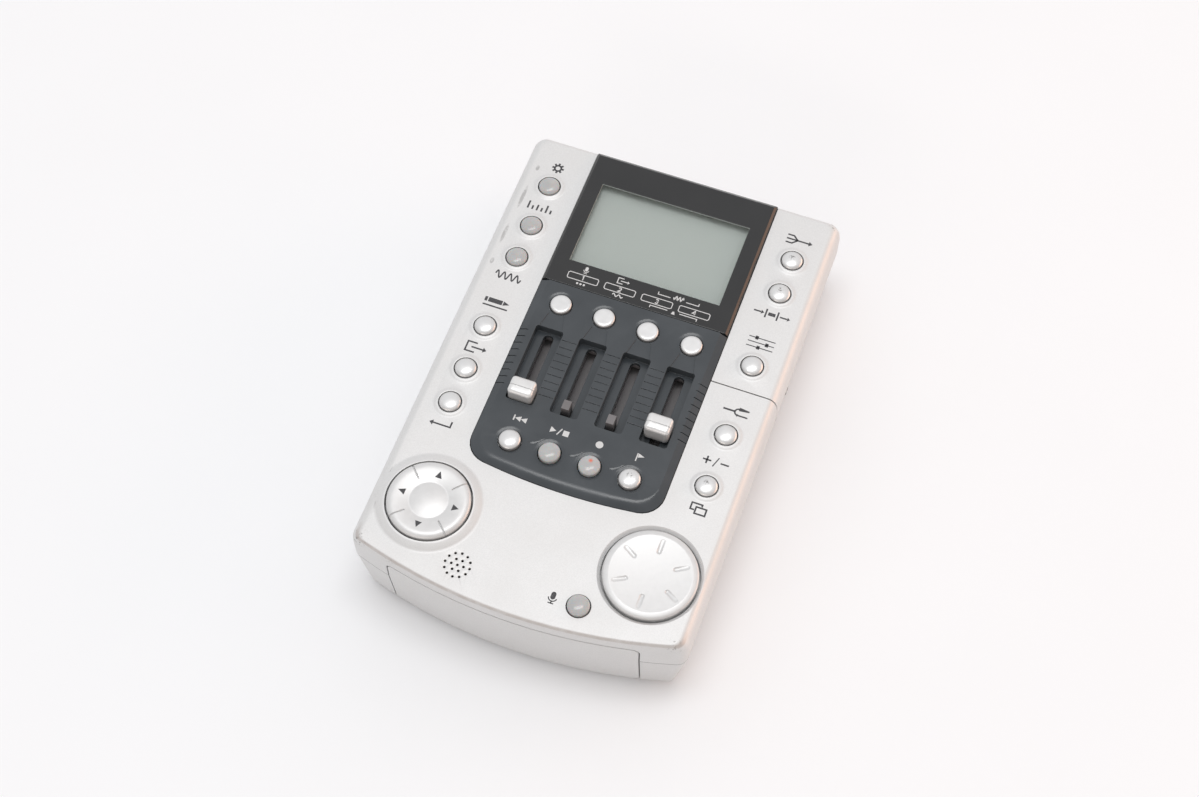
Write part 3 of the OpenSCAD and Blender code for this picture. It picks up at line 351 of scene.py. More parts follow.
def gloss_plastic():
    """Gloss dark frame; the walls of its opening get painted light, the display's lit colour in place of
    their shade.
    """
    finish = Finish("gloss_plastic", Coat_Weight=0.1, Coat_Roughness=0.06)
    patches = finish.noise(12, 3)
    colour = finish.blend(patches, (0.012, 0.0125, 0.0135), (0.017, 0.0175, 0.0185))
    # Painted light: the walls around the pane take a lit display colour that hides the shade on them.
    painted_lit_walls = finish.inside("display_window", PAINTED_WALL_BESIDE, PAINTED_WALL_ABOVE)
    finish.feed("Base Color", finish.blend(painted_lit_walls, colour, (0.30, 0.335, 0.315)))
    finish.feed("Roughness", finish.spread(patches, 0.3, 0.7, 0.2, 0.28))
    return finish.material


def clear_plastic():
    """Clear pane: mirror-like where it reflects, by the angle, and see-through elsewhere."""
    finish = Finish("clear_plastic", Metallic=1.0, Base_Color=(1, 1, 1, 1))
    finish.feed("Roughness", finish.spread(finish.noise(5), 0.3, 0.8, 0.01, 0.05))
    facing = finish.node("ShaderNodeLayerWeight").outputs["Facing"]
    finish.feed("Alpha", finish.spread(finish.math("POWER", facing, 4), 0, 1, 0.035, 0.8))
    return finish.material


DOT_GRID = 1.2


def display_face():
    """Blank display: grey-green, with the faint grid of its dots."""
    finish = Finish("display_face", Roughness=0.5)
    grid = finish.node("ShaderNodeTexBrick", offset=0.0)
    grid.inputs["Scale"].default_value = 1 / (DOT_GRID * MM)
    grid.inputs["Mortar Size"].default_value = 0.03
    grid.inputs["Color1"].default_value = (0.36, 0.405, 0.378, 1)
    grid.inputs["Color2"].default_value = (0.365, 0.41, 0.383, 1)
    grid.inputs["Mortar"].default_value = (0.375, 0.42, 0.393, 1)
    finish.link(finish.place, grid.inputs["Vector"])
    finish.feed("Base Color", grid.outputs["Color"])
    return finish.material


def brushed_metal(name, colour, roughness):
    finish = Finish(name, Metallic=1.0)
    streak = finish.noise(0.3, 2, (1, 1, 12))
    darker = tuple(c * 0.85 for c in colour)
    finish.feed("Base Color", finish.blend(streak, darker, colour))
    finish.feed("Roughness", finish.spread(streak, 0.2, 0.8, roughness - 0.08, roughness + 0.08))
    return finish.material


def board_lacquer():
    finish = Finish("board_lacquer", Coat_Weight=0.4)
    trace = finish.noise(1.6, 0, (1, 6, 1))
    share = finish.spread(trace, 0.5, 0.53)
    finish.feed("Base Color", finish.blend(share, (0.01, 0.09, 0.035), (0.02, 0.14, 0.06)))
    finish.feed("Roughness", finish.spread(trace, 0.4, 0.6, 0.3, 0.4))
    return finish.material


def ink(name, colour):
    finish = Finish(name)
    wear = finish.noise(0.35, 3)
    faded = tuple(0.75 * c + 0.12 for c in colour)
    finish.feed("Base Color", finish.blend(finish.spread(wear, 0.55, 0.75), colour, faded))
    finish.feed("Roughness", finish.spread(wear, 0.3, 0.7, 0.5, 0.65))
    return finish.material


def key_top(node, shift):
    """Place on top of a key, off its middle by that shift."""
    spot = middle(node)
    return (spot.x + shift.x, spot.y + shift.y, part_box(node)[1].z / MM)


def make_finishes():
    """Materials by the record's slot names, and those of special pieces and inks."""
    return {
        "silver_case": silver_paint("silver_paint", True),
        "cover_paint": silver_paint("cover_paint", False),
        "dark_panel": panel_plastic(),
        "gloss_bezel": gloss_plastic(),
        "clear_window": clear_plastic(),
        "display_glass": display_face(),
        "white_plastic": plain_plastic("white_plastic", grey(0.72)),
        "soft_strip": plain_plastic("soft_strip", (0.62, 0.30, 0.32), 0.6),
        "board": board_lacquer(),
        "black_plastic": plain_plastic("black_plastic", grey(0.03), 0.42),
        "steel": brushed_metal("steel", (0.56, 0.56, 0.57), 0.32),
        "light_metal": brushed_metal("light_metal", (0.70, 0.70, 0.71), 0.35),
        "cell": plain_plastic("cell_wrap", (0.05, 0.075, 0.16), 0.3),
        "rubber": plain_plastic("rubber", grey(0.025), 0.75, 0.2, 0.02),
        "grey_plastic": plain_plastic("grey_plastic", (0.175, 0.165, 0.168), 0.4),
        "silver_key": silver_key_paint("silver_key_paint"),
        "worn_key": silver_key_paint("worn_key_paint", [key_top(k, SMUDGE_SHIFT) for k in WORN_KEYS]),
        "cap_paint": silver_key_paint("cap_paint", metallic=0.4),
        "dial_paint": silver_key_paint("dial_paint", metallic=0.45, roughness=0.42, shade=0.69),
        "grey_key": lit_key_plastic("lit_key_plastic"),
        "record_key": lit_key_plastic("record_key_plastic", key_top("record_key", PAINTED_GLOW_SHIFT)),
        "card": plain_plastic("card_plastic", grey(0.035), 0.38),
        "dark_ink": ink("dark_ink", (0.045, 0.045, 0.05)),
        "light_ink": ink("light_ink", grey(0.62)),
    }


# Carried-over nodes: rounded edges and smooth shading, by modifiers alone
SMOOTH_ANGLE = math.radians(36)
CREASE_ANGLE = math.radians(18)
LEVEL = 0.9995
STRONG = 16384
EDGE_ROUND = {
    "top_case": 0.07,
    "right_wing_cover": 0.1,
    "bottom_case": 0.1,
    "battery_cover": 0.12,
    "control_panel": 0,
    "display_bezel": 0.2,
    "volume_wheel": 0.05,
    "power_slider": 0.2,
    "rubber_feet": 0.35,
    "memory_card": 0.12,
}
INNER_ROUND = 0.08
JOIN_WITHIN = 0.0005
SPECIAL_LOOKS = {
    "fader_tracks": "grey_plastic",
    "mic_capsule": "rubber",
    "battery_cover": "cover_paint",
}


def smooth_by_angle(limit):
    """Modifier nodes that shade faces smooth but for edges over that angle; level faces weigh most."""
    group = bpy.data.node_groups.new("smooth_by_angle", "GeometryNodeTree")
    for way in ("INPUT", "OUTPUT"):
        group.interface.new_socket("Geometry", in_out=way, socket_type="NodeSocketGeometry")
    start = group.nodes.new("NodeGroupInput")
    end = group.nodes.new("NodeGroupOutput")
    faces = group.nodes.new("GeometryNodeSetShadeSmooth")
    faces.domain = "FACE"
    edges = group.nodes.new("GeometryNodeSetShadeSmooth")
    edges.domain = "EDGE"
    angle = group.nodes.new("GeometryNodeInputMeshEdgeAngle")
    flat = group.nodes.new("FunctionNodeCompare")
    flat.operation = "LESS_EQUAL"
    flat.inputs["B"].default_value = limit
    group.links.new(start.outputs[0], faces.inputs["Geometry"])
    group.links.new(faces.outputs[0], edges.inputs["Geometry"])
    group.links.new(angle.outputs["Unsigned Angle"], flat.inputs["A"])
    group.links.new(flat.outputs["Result"], edges.inputs["Shade Smooth"])
    split = group.nodes.new("ShaderNodeSeparateXYZ")
    group.links.new(group.nodes.new("GeometryNodeInputNormal").outputs["Normal"], split.inputs["Vector"])
    level = group.nodes.new("FunctionNodeCompare")
    level.operation = "GREATER_THAN"
    level.inputs["B"].default_value = LEVEL
    group.links.new(split.outputs["Z"], level.inputs["A"])
    strength = group.nodes.new("GeometryNodeStoreNamedAttribute")
    strength.data_type = "INT"
    strength.domain = "FACE"
    strength.inputs["Name"].default_value = "__mod_weightednormals_faceweight"
    strength.inputs["Value"].default_value = STRONG
    group.links.new(edges.outputs[0], strength.inputs["Geometry"])
    group.links.new(level.outputs["Result"], strength.inputs["Selection"])
    group.links.new(strength.outputs[0], end.inputs[0])
    return group


def soften(piece, width, group):
    """Joins the piece's vertices, rounds its creases and shades the rest smooth."""
    piece.modifiers.new("join", "WELD").merge_threshold = JOIN_WITHIN * MM
    if width:
        edge = piece.modifiers.new("edge", "BEVEL")
        edge.width = width * MM
        edge.segments = 2
        edge.limit_method = "ANGLE"
        edge.angle_limit = SMOOTH_ANGLE
        edge.use_clamp_overlap = False
        edge.loop_slide = False
    piece.modifiers.new("smooth", "NODES").node_group = group
    weighted = piece.modifiers.new("weighted", "WEIGHTED_NORMAL")
    weighted.keep_sharp = True
    weighted.use_face_influence = True


def dress_nodes(finishes):
    rounded = smooth_by_angle(SMOOTH_ANGLE)
    creased = smooth_by_angle(CREASE_ANGLE)
    slots = {m["slot"]: m for m in frame["record"]["materials"]}
    for name, piece in nodes.items():
        slot = piece.data.materials[0].name
        assert slot in slots, slot
        piece.material_slots[0].link = "OBJECT"
        piece.material_slots[0].material = finishes[SPECIAL_LOOKS.get(name, slot)]
        width = EDGE_ROUND.get(name, INNER_ROUND)
        soften(piece, width, rounded if width else creased)


# New pieces
def add_mesh(name, bm, material, body, smooth=True):
    bmesh.ops.recalc_face_normals(bm, faces=bm.faces)
    mesh = bpy.data.meshes.new(name)
    bm.to_mesh(mesh)
    bm.free()
    mesh.materials.append(material)
    if smooth:
        for face in mesh.polygons:
            face.use_smooth = True
        mesh.set_sharp_from_angle(angle=SMOOTH_ANGLE)
    piece = bpy.data.objects.new(name, mesh)
    scene.collection.objects.link(piece)
    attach(piece, body)
    return piece


def turned(name, x, y, profile, material, node, segments=96, dent=None):
    """Round piece that stands for a node, from a profile of (radius, height) from bottom to top middle."""
    bm = bmesh.new()
    rings = []
    for radius, z in profile:
        count = segments if radius > 0 else 1
        ring = []
        for i in range(count):
            a = 2 * math.pi * i / segments
            px = radius * math.cos(a)
            py = radius * math.sin(a)
            drop = dent(px, py, z) if dent else 0
            ring.append(bm.verts.new(((x + px) * MM, (y + py) * MM, (z - drop) * MM)))
        rings.append(ring)
    for low, high in zip(rings, rings[1:]):
        for i in range(segments):
            k = (i + 1) % segments
            corners = [low[i % len(low)], low[k % len(low)], high[k % len(high)], high[i % len(high)]]
            bm.faces.new(list(dict.fromkeys(corners)))
    piece = add_mesh(name, bm, material, nodes[node]["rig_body"])
    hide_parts(node)
    return piece


def arc_profile(r0, z0, r1, z1, steps):
    """Quarter ellipse that starts upright at (r0, z0) and ends level at (r1, z1)."""
    points = []
    for i in range(1, steps + 1):
        a = math.pi / 2 * i / steps
        points.append((r1 + (r0 - r1) * math.cos(a), z0 + (z1 - z0) * math.sin(a)))
    return points


def prism(bm, corners, low, highs):
    """Closed prism over plan corners in millimetres, with a top height at each corner."""
    floor = [bm.verts.new((c[0] * MM, c[1] * MM, low * MM)) for c in corners]
    roof = [bm.verts.new((c[0] * MM, c[1] * MM, z * MM)) for c, z in zip(corners, highs)]
    bm.faces.new(list(reversed(floor)))
    bm.faces.new(roof)
    for i in range(len(corners)):
        k = (i + 1) % len(corners)
        bm.faces.new([floor[i], floor[k], roof[k], roof[i]])


def ribbon(bm, left, right, low, high, closed):
    """Solid strip between two rows of plan points in millimetres."""

    def corners(row, z):
        return [bm.verts.new((x * MM, y * MM, z * MM)) for x, y in row]

    low_left = corners(left, low)
    low_right = corners(right, low)
    high_left = corners(left, high)
    high_right = corners(right, high)
    count = len(left)
    for i in range(count if closed else count - 1):
        k = (i + 1) % count
        bm.faces.new([high_right[i], high_right[k], high_left[k], high_left[i]])
        bm.faces.new([low_left[i], low_left[k], low_right[k], low_right[i]])
        bm.faces.new([high_left[i], high_left[k], low_left[k], low_left[i]])
        bm.faces.new([low_right[i], low_right[k], high_right[k], high_right[i]])
    if not closed:
        for i in (0, -1):
            bm.faces.new([low_left[i], low_right[i], high_right[i], high_left[i]])


# Keys
KEY_SKIRT = 0.6
KEY_STEM_R = 1.3
KEY_FLANGE_T = 0.9
KEY_STEM_H = 1.9
KEY_SEGMENTS = 64
DOME_H = 1.0
DOME_STEPS = 20
STATUS_ROUND_H = 0.45
STATUS_ROUND_R = 0.75
STATUS_STEPS = 8


def add_key(node, finishes):
    """Key with the stem and flange of its solid, and a finer dome or flat top."""
    low, high = (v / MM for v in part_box(node))
    centre = (low + high) / 2
    flange_r = (high.x - low.x) / 2
    key_r = flange_r - KEY_SKIRT
    z_flange = low.z + KEY_STEM_H
    profile = [
        (0, low.z),
        (KEY_STEM_R, low.z),
        (KEY_STEM_R, z_flange),
        (flange_r, z_flange),
        (flange_r, z_flange + KEY_FLANGE_T),
        (key_r, z_flange + KEY_FLANGE_T),
    ]
    if node in STATUS_KEYS:
        edge_z = high.z - STATUS_ROUND_H
        profile.append((key_r, edge_z))
        profile += arc_profile(key_r, edge_z, key_r - STATUS_ROUND_R, high.z, STATUS_STEPS)
        profile += [(key_r / 2, high.z), (0, high.z)]
    else:
        edge_z = high.z - DOME_H
        profile.append((key_r, edge_z))
        profile += arc_profile(key_r, edge_z, 0, high.z, DOME_STEPS)[:-1] + [(0, high.z)]
    slot = "grey_key" if node in LIT_KEYS else "silver_key"
    look = "worn_key" if node in WORN_KEYS else slot
    look = node if node == "record_key" else look
    piece = turned(node + "_cap", centre.x, centre.y, profile, finishes[look], node, KEY_SEGMENTS)


# Dial and pad have fine rings, whose dents start this high above the shoulder
FINE_SEGMENTS = 720
DENT_FROM = 0.2

# Jog dial
DIAL_FOOT = 0.2
DIAL_RIM = 1.5
DIAL_RIM_STEPS = 24
DIAL_DISH = 0.4
DIAL_DISH_STEPS = 110
DIAL_SHOULDER = 1.0
DIAL_SLOPE = 0.4
DIAL_SLOPE_POWER = 1.3
DIAL_EDGE_POWER = 8
GROOVES = 6
GROOVE_TURN = math.radians(30)
GROOVE_IN = 6.0
GROOVE_OUT = 8.8
GROOVE_HALF = 0.62
GROOVE_DEEP = 0.3
GROOVE_FADE = 0.6


def groove_dent(px, py):
    """Depth of the finger grooves at a point of the dial's top; they get shallower outwards."""
    radius = math.hypot(px, py)
    step = 2 * math.pi / GROOVES
    angle = (math.atan2(py, px) - GROOVE_TURN + step / 2) % step - step / 2
    along = radius * math.cos(angle)
    across = radius * math.sin(angle)
    reach = max(GROOVE_IN - along, 0, along - GROOVE_OUT)
    away = math.hypot(across, reach) / GROOVE_HALF
    outward = min(1, max(0, (along - GROOVE_IN) / (GROOVE_OUT - GROOVE_IN)))
    return GROOVE_DEEP * (1 - GROOVE_FADE * outward) * max(0.0, 1 - away * away)


def add_dial(finishes):
    """Jog dial with a rounded rim, a dished top and finger grooves."""
    low, high = (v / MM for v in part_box("jog_dial"))
    centre = (low + high) / 2
    outer = (high.x - low.x) / 2
    dish_r = outer - DIAL_RIM
    shoulder = high.z - DIAL_SHOULDER
    profile = [(0, low.z), (outer - DIAL_FOOT, low.z), (outer, low.z + DIAL_FOOT), (outer, shoulder)]
    for i in range(1, DIAL_RIM_STEPS + 1):
        t = math.cos(math.pi / 2 * i / DIAL_RIM_STEPS)
        gentle = DIAL_SLOPE * t ** DIAL_SLOPE_POWER
        steep = (DIAL_SHOULDER - DIAL_SLOPE) * (1 - math.sqrt(1 - t ** DIAL_EDGE_POWER))
        profile.append((dish_r + DIAL_RIM * t, high.z - gentle - steep))
    for i in range(1, DIAL_DISH_STEPS + 1):
        r = dish_r * (1 - i / DIAL_DISH_STEPS)
        profile.append((r, high.z - DIAL_DISH * (1 - (r / dish_r) ** 2)))

    def dent(px, py, z):
        return groove_dent(px, py) if z > shoulder + DENT_FROM else 0

    paint = finishes["dial_paint"]
    piece = turned("jog_dial_top", centre.x, centre.y, profile, paint, "jog_dial", FINE_SEGMENTS, dent)


# Cursor pad
PAD_DOME_R = 4.75
PAD_DOME_H = 0.6
PAD_RING_DROP = 0.7
PAD_RING_POWER = 1.6
PAD_EDGE = 1.6
PAD_EDGE_STEPS = 12
PAD_TOP_STEPS = 46
PAD_SHOULDER = 1
PAD_SKIRT = 0.75
PAD_FLANGE_T = 0.8
PAD_STEM_R = 3
PAD_STEM_H = 0.4
PAD_SLIT_IN = 6.35
PAD_SLIT_HALF = 0.2
PAD_SLIT_DEEP = 0.45
ARROW_R = 6.95
ARROW_SIZE = 0.85
ARROW_SINK = 0.25
ARROW_LIFT = 0.03


def pad_height(r, outer, top):
    """Height of the pad's top at a radius."""
    ring_r = outer - PAD_EDGE
    if r > ring_r:
        return top
    if r > PAD_DOME_R:
        t = (r - PAD_DOME_R) / (ring_r - PAD_DOME_R)
        return top - PAD_RING_DROP * (1 - t) ** PAD_RING_POWER
    return top - PAD_RING_DROP + PAD_DOME_H * (1 - (r / PAD_DOME_R) ** 2)


def slit_dent(px, py):
    """Depth of the four diagonal slits at a point of the pad's top."""
    along = (abs(px) + abs(py)) / math.sqrt(2)
    across = (abs(px) - abs(py)) / math.sqrt(2)
    reach = max(PAD_SLIT_IN - along, 0)
    away = math.hypot(across, reach) / PAD_SLIT_HALF
    return PAD_SLIT_DEEP * max(0.0, 1 - away * away) ** 0.5


def arrow_lift(corner, centre, outer, top):
    """Height of an arrow's corner, just above the pad's top."""
    radius = math.hypot(corner.x - centre.x, corner.y - centre.y)
    return pad_height(radius, outer, top) + ARROW_LIFT


def add_pad(finishes):
    """Cursor pad with a domed middle, diagonal slits and four arrows."""
    low, high = (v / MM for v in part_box("cursor_pad"))
    centre = (low + high) / 2
    flange_r = (high.x - low.x) / 2
    outer = flange_r - PAD_SKIRT
    shoulder = high.z - PAD_SHOULDER
    flange_z = low.z + PAD_STEM_H
    profile = [
        (0, low.z),
        (PAD_STEM_R, low.z),
        (PAD_STEM_R, flange_z),
        (flange_r, flange_z),
        (flange_r, flange_z + PAD_FLANGE_T),
        (outer, flange_z + PAD_FLANGE_T),
        (outer, shoulder),
    ]
    profile += arc_profile(outer, shoulder, outer - PAD_EDGE, high.z, PAD_EDGE_STEPS)
    for i in range(1, PAD_TOP_STEPS + 1):
        r = (outer - PAD_EDGE) * (1 - i / PAD_TOP_STEPS)
        profile.append((r, pad_height(r, outer, high.z)))

    def dent(px, py, z):
        return slit_dent(px, py) if z > shoulder + DENT_FROM else 0

    paint = finishes["dial_paint"]
    piece = turned("cursor_pad_top", centre.x, centre.y, profile, paint, "cursor_pad", FINE_SEGMENTS, dent)
    arrow_z = pad_height(ARROW_R, outer, high.z)
    bm = bmesh.new()
    for turn in range(4):
        a = math.pi / 2 * turn
        out = Vector((math.cos(a), math.sin(a)))
        side = Vector((-out.y, out.x))
        at = Vector((centre.x, centre.y)) + out * ARROW_R
        corners = [
            at + out * ARROW_SIZE,
            at - out * ARROW_SIZE + side * ARROW_SIZE,
            at - out * ARROW_SIZE - side * ARROW_SIZE,
        ]
        prism(bm, corners, arrow_z - ARROW_SINK, [arrow_lift(c, centre, outer, high.z) for c in corners])
    arrows = add_mesh("cursor_arrows", bm, finishes["dark_ink"], nodes["cursor_pad"]["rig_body"], False)


# Slider caps
CAP_CORNER = 1.0
CAP_EDGE = 0.8
CAP_CROWN = 0.3
CAP_GROOVE_AT = -0.35
CAP_GROOVE_HALF = 0.16
CAP_GROOVE_DEEP = 0.3
CAP_CUTS = 24
CAP_EDGE_CUTS = 5
CAP_GROOVE_CUTS = 4


def add_cap(node, finishes):
    """Slider cap: a box with rounded corners, a slightly crowned top and a grip groove across it."""
    low, high = (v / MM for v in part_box(node))
    centre = (low + high) / 2
    half = (high - low) / 2
    tall = CAP_CORNER / CAP_EDGE
    inner = Vector((half.x - CAP_CORNER, half.y - CAP_CORNER, half.z * tall - CAP_CORNER))
    bm = bmesh.new()
    cuts = [-1 + 2 * i / CAP_CUTS for i in range(CAP_CUTS + 1)]
    edge_steps = [CAP_EDGE / half.z * i / CAP_EDGE_CUTS for i in range(CAP_EDGE_CUTS + 1)]
    edges = [end * (1 - step) for end in (-1, 1) for step in edge_steps]
    groove_steps = range(-CAP_GROOVE_CUTS - 2, CAP_GROOVE_CUTS + 3)
    groove = [(CAP_GROOVE_AT + i * CAP_GROOVE_HALF / CAP_GROOVE_CUTS) / half.y for i in groove_steps]
    cuts_y = sorted({round(v, 6) for v in cuts + groove})
    cuts_z = sorted({round(v, 6) for v in edges})
    verts = {}

    def place(u, v, w):
        if (u, v, w) not in verts:
            spot = Vector((u * half.x, v * half.y, w * half.z * tall))
            core = Vector([max(-i, min(i, c)) for c, i in zip(spot, inner)])
            spot = core + (spot - core).normalized() * CAP_CORNER
            spot.z /= tall
            if w > 0.5:
                away = (v * half.y - CAP_GROOVE_AT) / CAP_GROOVE_HALF
                spot.z -= CAP_GROOVE_DEEP * max(0.0, 1 - away * away) ** 0.5
                spot.z -= CAP_CROWN * (spot.y / half.y) ** 2
            verts[u, v, w] = bm.verts.new((centre + spot) * MM)
        return verts[u, v, w]

    def sheet(first, second, corner):
        for a0, a1 in zip(first, first[1:]):
            for b0, b1 in zip(second, second[1:]):
                bm.faces.new([corner(a0, b0), corner(a1, b0), corner(a1, b1), corner(a0, b1)])

    for end in (-1, 1):
        sheet(cuts, cuts_y, lambda a, b: place(a, b, end))
        sheet(cuts, cuts_z, lambda a, b: place(a, end, b))
        sheet(cuts_y, cuts_z, lambda a, b: place(end, a, b))
    piece = add_mesh(node + "_top", bm, finishes["cap_paint"], nodes[node]["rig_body"])
    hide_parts(node)


# Printed marks: generic signs in the places of the printed words
INK_LIFT = 0.02
INK_SINK = 0.03
LINE = 0.36
CLOSED = 0.001
MITRE_LEAST = 0.4


def arc(x, y, radius, start, end, steps=20):
    """Points along an arc, in degrees."""
    turns = [math.radians(start + (end - start) * i / steps) for i in range(steps + 1)]
    return [(x + radius * math.cos(a), y + radius * math.sin(a)) for a in turns]


def wave(half, height, turns):
    """Points of a sine wave around the origin."""
    steps = 12 * turns
    spots = [-1 + 2 * i / steps for i in range(steps + 1)]
    return [(half * t, height * math.sin(math.pi * turns * t)) for t in spots]


class Print:
    """Ink marks on one level face, gathered into one mesh. Points are in millimetres."""

    def __init__(self, face):
        self.bm = bmesh.new()
        self.face = face
        self.at = (0, 0)
        self.scale = 1

    def move(self, x, y, scale=1):
        """Sets the middle and the scale of the marks that follow."""
        self.at = (x, y)
        self.scale = scale

    def corners(self, points):
        return [(self.at[0] + x * self.scale, self.at[1] + y * self.scale) for x, y in points]

    def shape(self, *points):
        prism(self.bm, self.corners(points), self.face - INK_SINK, [self.face + INK_LIFT] * len(points))

    def disc(self, x, y, radius):
        self.shape(*arc(x, y, radius, 0, 345, 23))

    def bar(self, x0, y0, x1, y1):
        self.shape((x0, y0), (x1, y0), (x1, y1), (x0, y1))

    def line(self, *points, width=LINE):
        """Line of even width with mitred corners; it is closed if it ends where it starts."""
        path = [Vector(p) for p in points]
        steps = [(b - a).normalized() for a, b in zip(path, path[1:])]
        closed = (path[0] - path[-1]).length < CLOSED
        before, after = (steps[-1:], steps[:1]) if closed else (steps[:1], steps[-1:])
        left, right = [], []
        for spot, behind, ahead in zip(path, before + steps, steps + after):
            side = Vector((-(ahead + behind).y, (ahead + behind).x)).normalized()
            reach = width / 2 / max(MITRE_LEAST, side.dot(Vector((-ahead.y, ahead.x))))
            left.append(spot + side * reach)
            right.append(spot - side * reach)
        if closed:
            left.pop()
            right.pop()
        sides = self.corners(left), self.corners(right)
        ribbon(self.bm, *sides, self.face - INK_SINK, self.face + INK_LIFT, closed)

    def ring(self, x, y, radius, width=LINE):
        self.line(*arc(x, y, radius, 0, 360, 28), width=width)

    def head(self, x, y, way, size=0.62):
        """Arrow head with its tip at (x, y), pointing right or left."""
        self.shape((x, y), (x - way * size * 1.3, y + size), (x - way * size * 1.3, y - size))

    def finish(self, name, material, slot):
        add_mesh(name, self.bm, material, "case", False)


def frame_line(x, y, width, depth, cut):
    """Outline of a box with cut corners, from the middle of its front side round and back."""
    w, d = width / 2, depth / 2
    right = [(w - cut, -d), (w, cut - d), (w, d - cut), (w - cut, d)]
    left = [(cut - w, d), (-w, d - cut), (-w, cut - d), (cut - w, -d)]
    corners = dict.fromkeys([(0, -d)] + right + left)
    return [(x + px, y + py) for px, py in corners] + [(x, y - d)]


def gear(ink):
    ink.ring(0, 0, 0.72, 0.4)
    for angle in range(0, 360, 45):
        ink.line(*[p for r in (0.85, 1.35) for p in arc(0, 0, r, angle, angle, 1)[:1]], width=0.45)


def beat(ink):
    for i, height in enumerate((2.0, 1.0, 1.5, 1.0, 2.0, 1.0)):
        x = i * 1.05 - 2.62
        ink.line((x, -1), (x, height - 1), width=0.4)


def sine(ink):
    ink.line(*wave(2.9, 0.85, 4), width=0.32)


def pencil(ink):
    ink.bar(-2.7, 0, -2.1, 1.1)
    ink.bar(-1.85, 0, 1.3, 1.1)
    ink.shape((1.5, 0), (2.9, 0.55), (1.5, 1.1))
    ink.line((-2.7, -0.85), (2.9, -0.85))


def leave(ink):
    ink.line((0.1, -1.15), (-2.0, -1.15), (-2.0, 1.15), (0.1, 1.15))
    ink.line((-0.9, 0), (1.8, 0))
    ink.head(2.5, 0, 1)


def enter(ink):
    ink.line((2.2, 1.1), (2.2, -0.25), (-1.6, -0.25))
    ink.head(-2.4, -0.25, -1)


def merge(ink):
    for y in (-1, 1):
        ink.line((-2.9, y), (-1.5, y), (-0.4, 0))
    ink.line((-2.9, 0), (2.2, 0))
    ink.head(2.9, 0, 1)


def punch(ink):
    for x in (-1.3, 1.3):
        ink.line((x, -1.1), (x, 1.1))
    ink.bar(-0.8, -0.4, 0.8, 0.4)
    for x in (-1.7, 4.1):
        ink.line((x - 2.3, 0), (x - 0.7, 0))
        ink.head(x, 0, 1, 0.5)


def sliders(ink):
    for y, knob in ((1.15, -1.2), (0, 1.3), (-1.15, -0.3)):
        ink.line((-2.9, y), (2.9, y), width=0.22)
        ink.bar(knob - 0.35, y - 0.45, knob + 0.35, y + 0.45)


def fork(ink):
    bend = arc(0.7, 0, 0.75, 90, 270, 12)
    ink.line((2.9, 0.75), (0.7, 0.75), *bend, (0.7, -0.75), (2.9, -0.75), width=0.34)
    ink.line((-0.1, 0), (-2.6, 0), width=0.4)


def plus_minus(ink):
    ink.line((-2.8, 0), (-1.0, 0), width=0.36)
    ink.line((-1.9, -0.9), (-1.9, 0.9), width=0.36)
    ink.line((-0.4, -1.15), (0.4, 1.15), width=0.24)
    ink.line((1.0, 0), (2.8, 0), width=0.36)


def copy(ink):
    ink.line(*frame_line(0.6, -0.35, 2.2, 1.5, 0))
    ink.line((-0.75, -0.35), (-1.6, -0.35), (-1.6, 1.15), (0.6, 1.15), (0.6, 0.65))


def microphone(ink):
    ink.shape(*arc(0, 0.75, 0.5, 0, 180, 10), *arc(0, 0.05, 0.5, 180, 360, 10))
    ink.line(*arc(0, 0.05, 0.88, 190, 350, 14), width=0.24)
    ink.line((0, -0.85), (0, -1.3), width=0.24)
    ink.line((-0.6, -1.3), (0.6, -1.3), width=0.24)


# Marks on the wings: key, distance behind the key's middle, mark
WING_MARKS = [
    ("left_key_1", 6.4, gear),
    ("left_key_2", 6.3, beat),
    ("left_key_3", -6.1, sine),
    ("left_key_4", 7.2, pencil),
    ("left_key_5", 6.4, leave),
    ("left_key_6", -6.2, enter),
    ("right_key_1", 6.6, merge),
    ("right_key_2", -6.5, punch),
    ("right_key_3", 7.1, sliders),
    ("right_key_4", 7.2, fork),
    ("right_key_5", 7.1, plus_minus),
    ("right_key_5", -6.3, copy),
]
MIC_MARK_X = -6.4
WING_MARK_SCALE = 1.18


def print_case(finishes):
    ink = Print(TOP_Z)
    for key, behind, mark in WING_MARKS:
        ink.move(middle(key).x, middle(key).y + behind, WING_MARK_SCALE)
        mark(ink)
    ink.move(middle("mic_key").x + MIC_MARK_X, middle("mic_key").y, WING_MARK_SCALE)
    microphone(ink)
    ink.finish("case_marks", finishes["dark_ink"], "rubber")


# Marks on the panel and around the display
BOX_PITCH = 9.95
BOX_Y = 26.15
BOX_W = 8.1
BOX_D = 1.9
OVER_Y = 28.75
UNDER_Y = 24.3
TRANSPORT_MARK = 6.3
DIGITS = {
    1: [(-0.2, 0.4), (0.08, 0.6), (0.08, -0.6)],
    2: arc(0, 0.25, 0.35, 160, -30, 10) + [(-0.35, -0.55), (0.4, -0.55)],
    3: arc(0, 0.3, 0.3, 160, -80, 8) + arc(0, -0.27, 0.33, 80, -160, 8),
    4: [(0.42, -0.2), (-0.42, -0.2), (0.2, 0.6), (0.2, -0.6)],
}


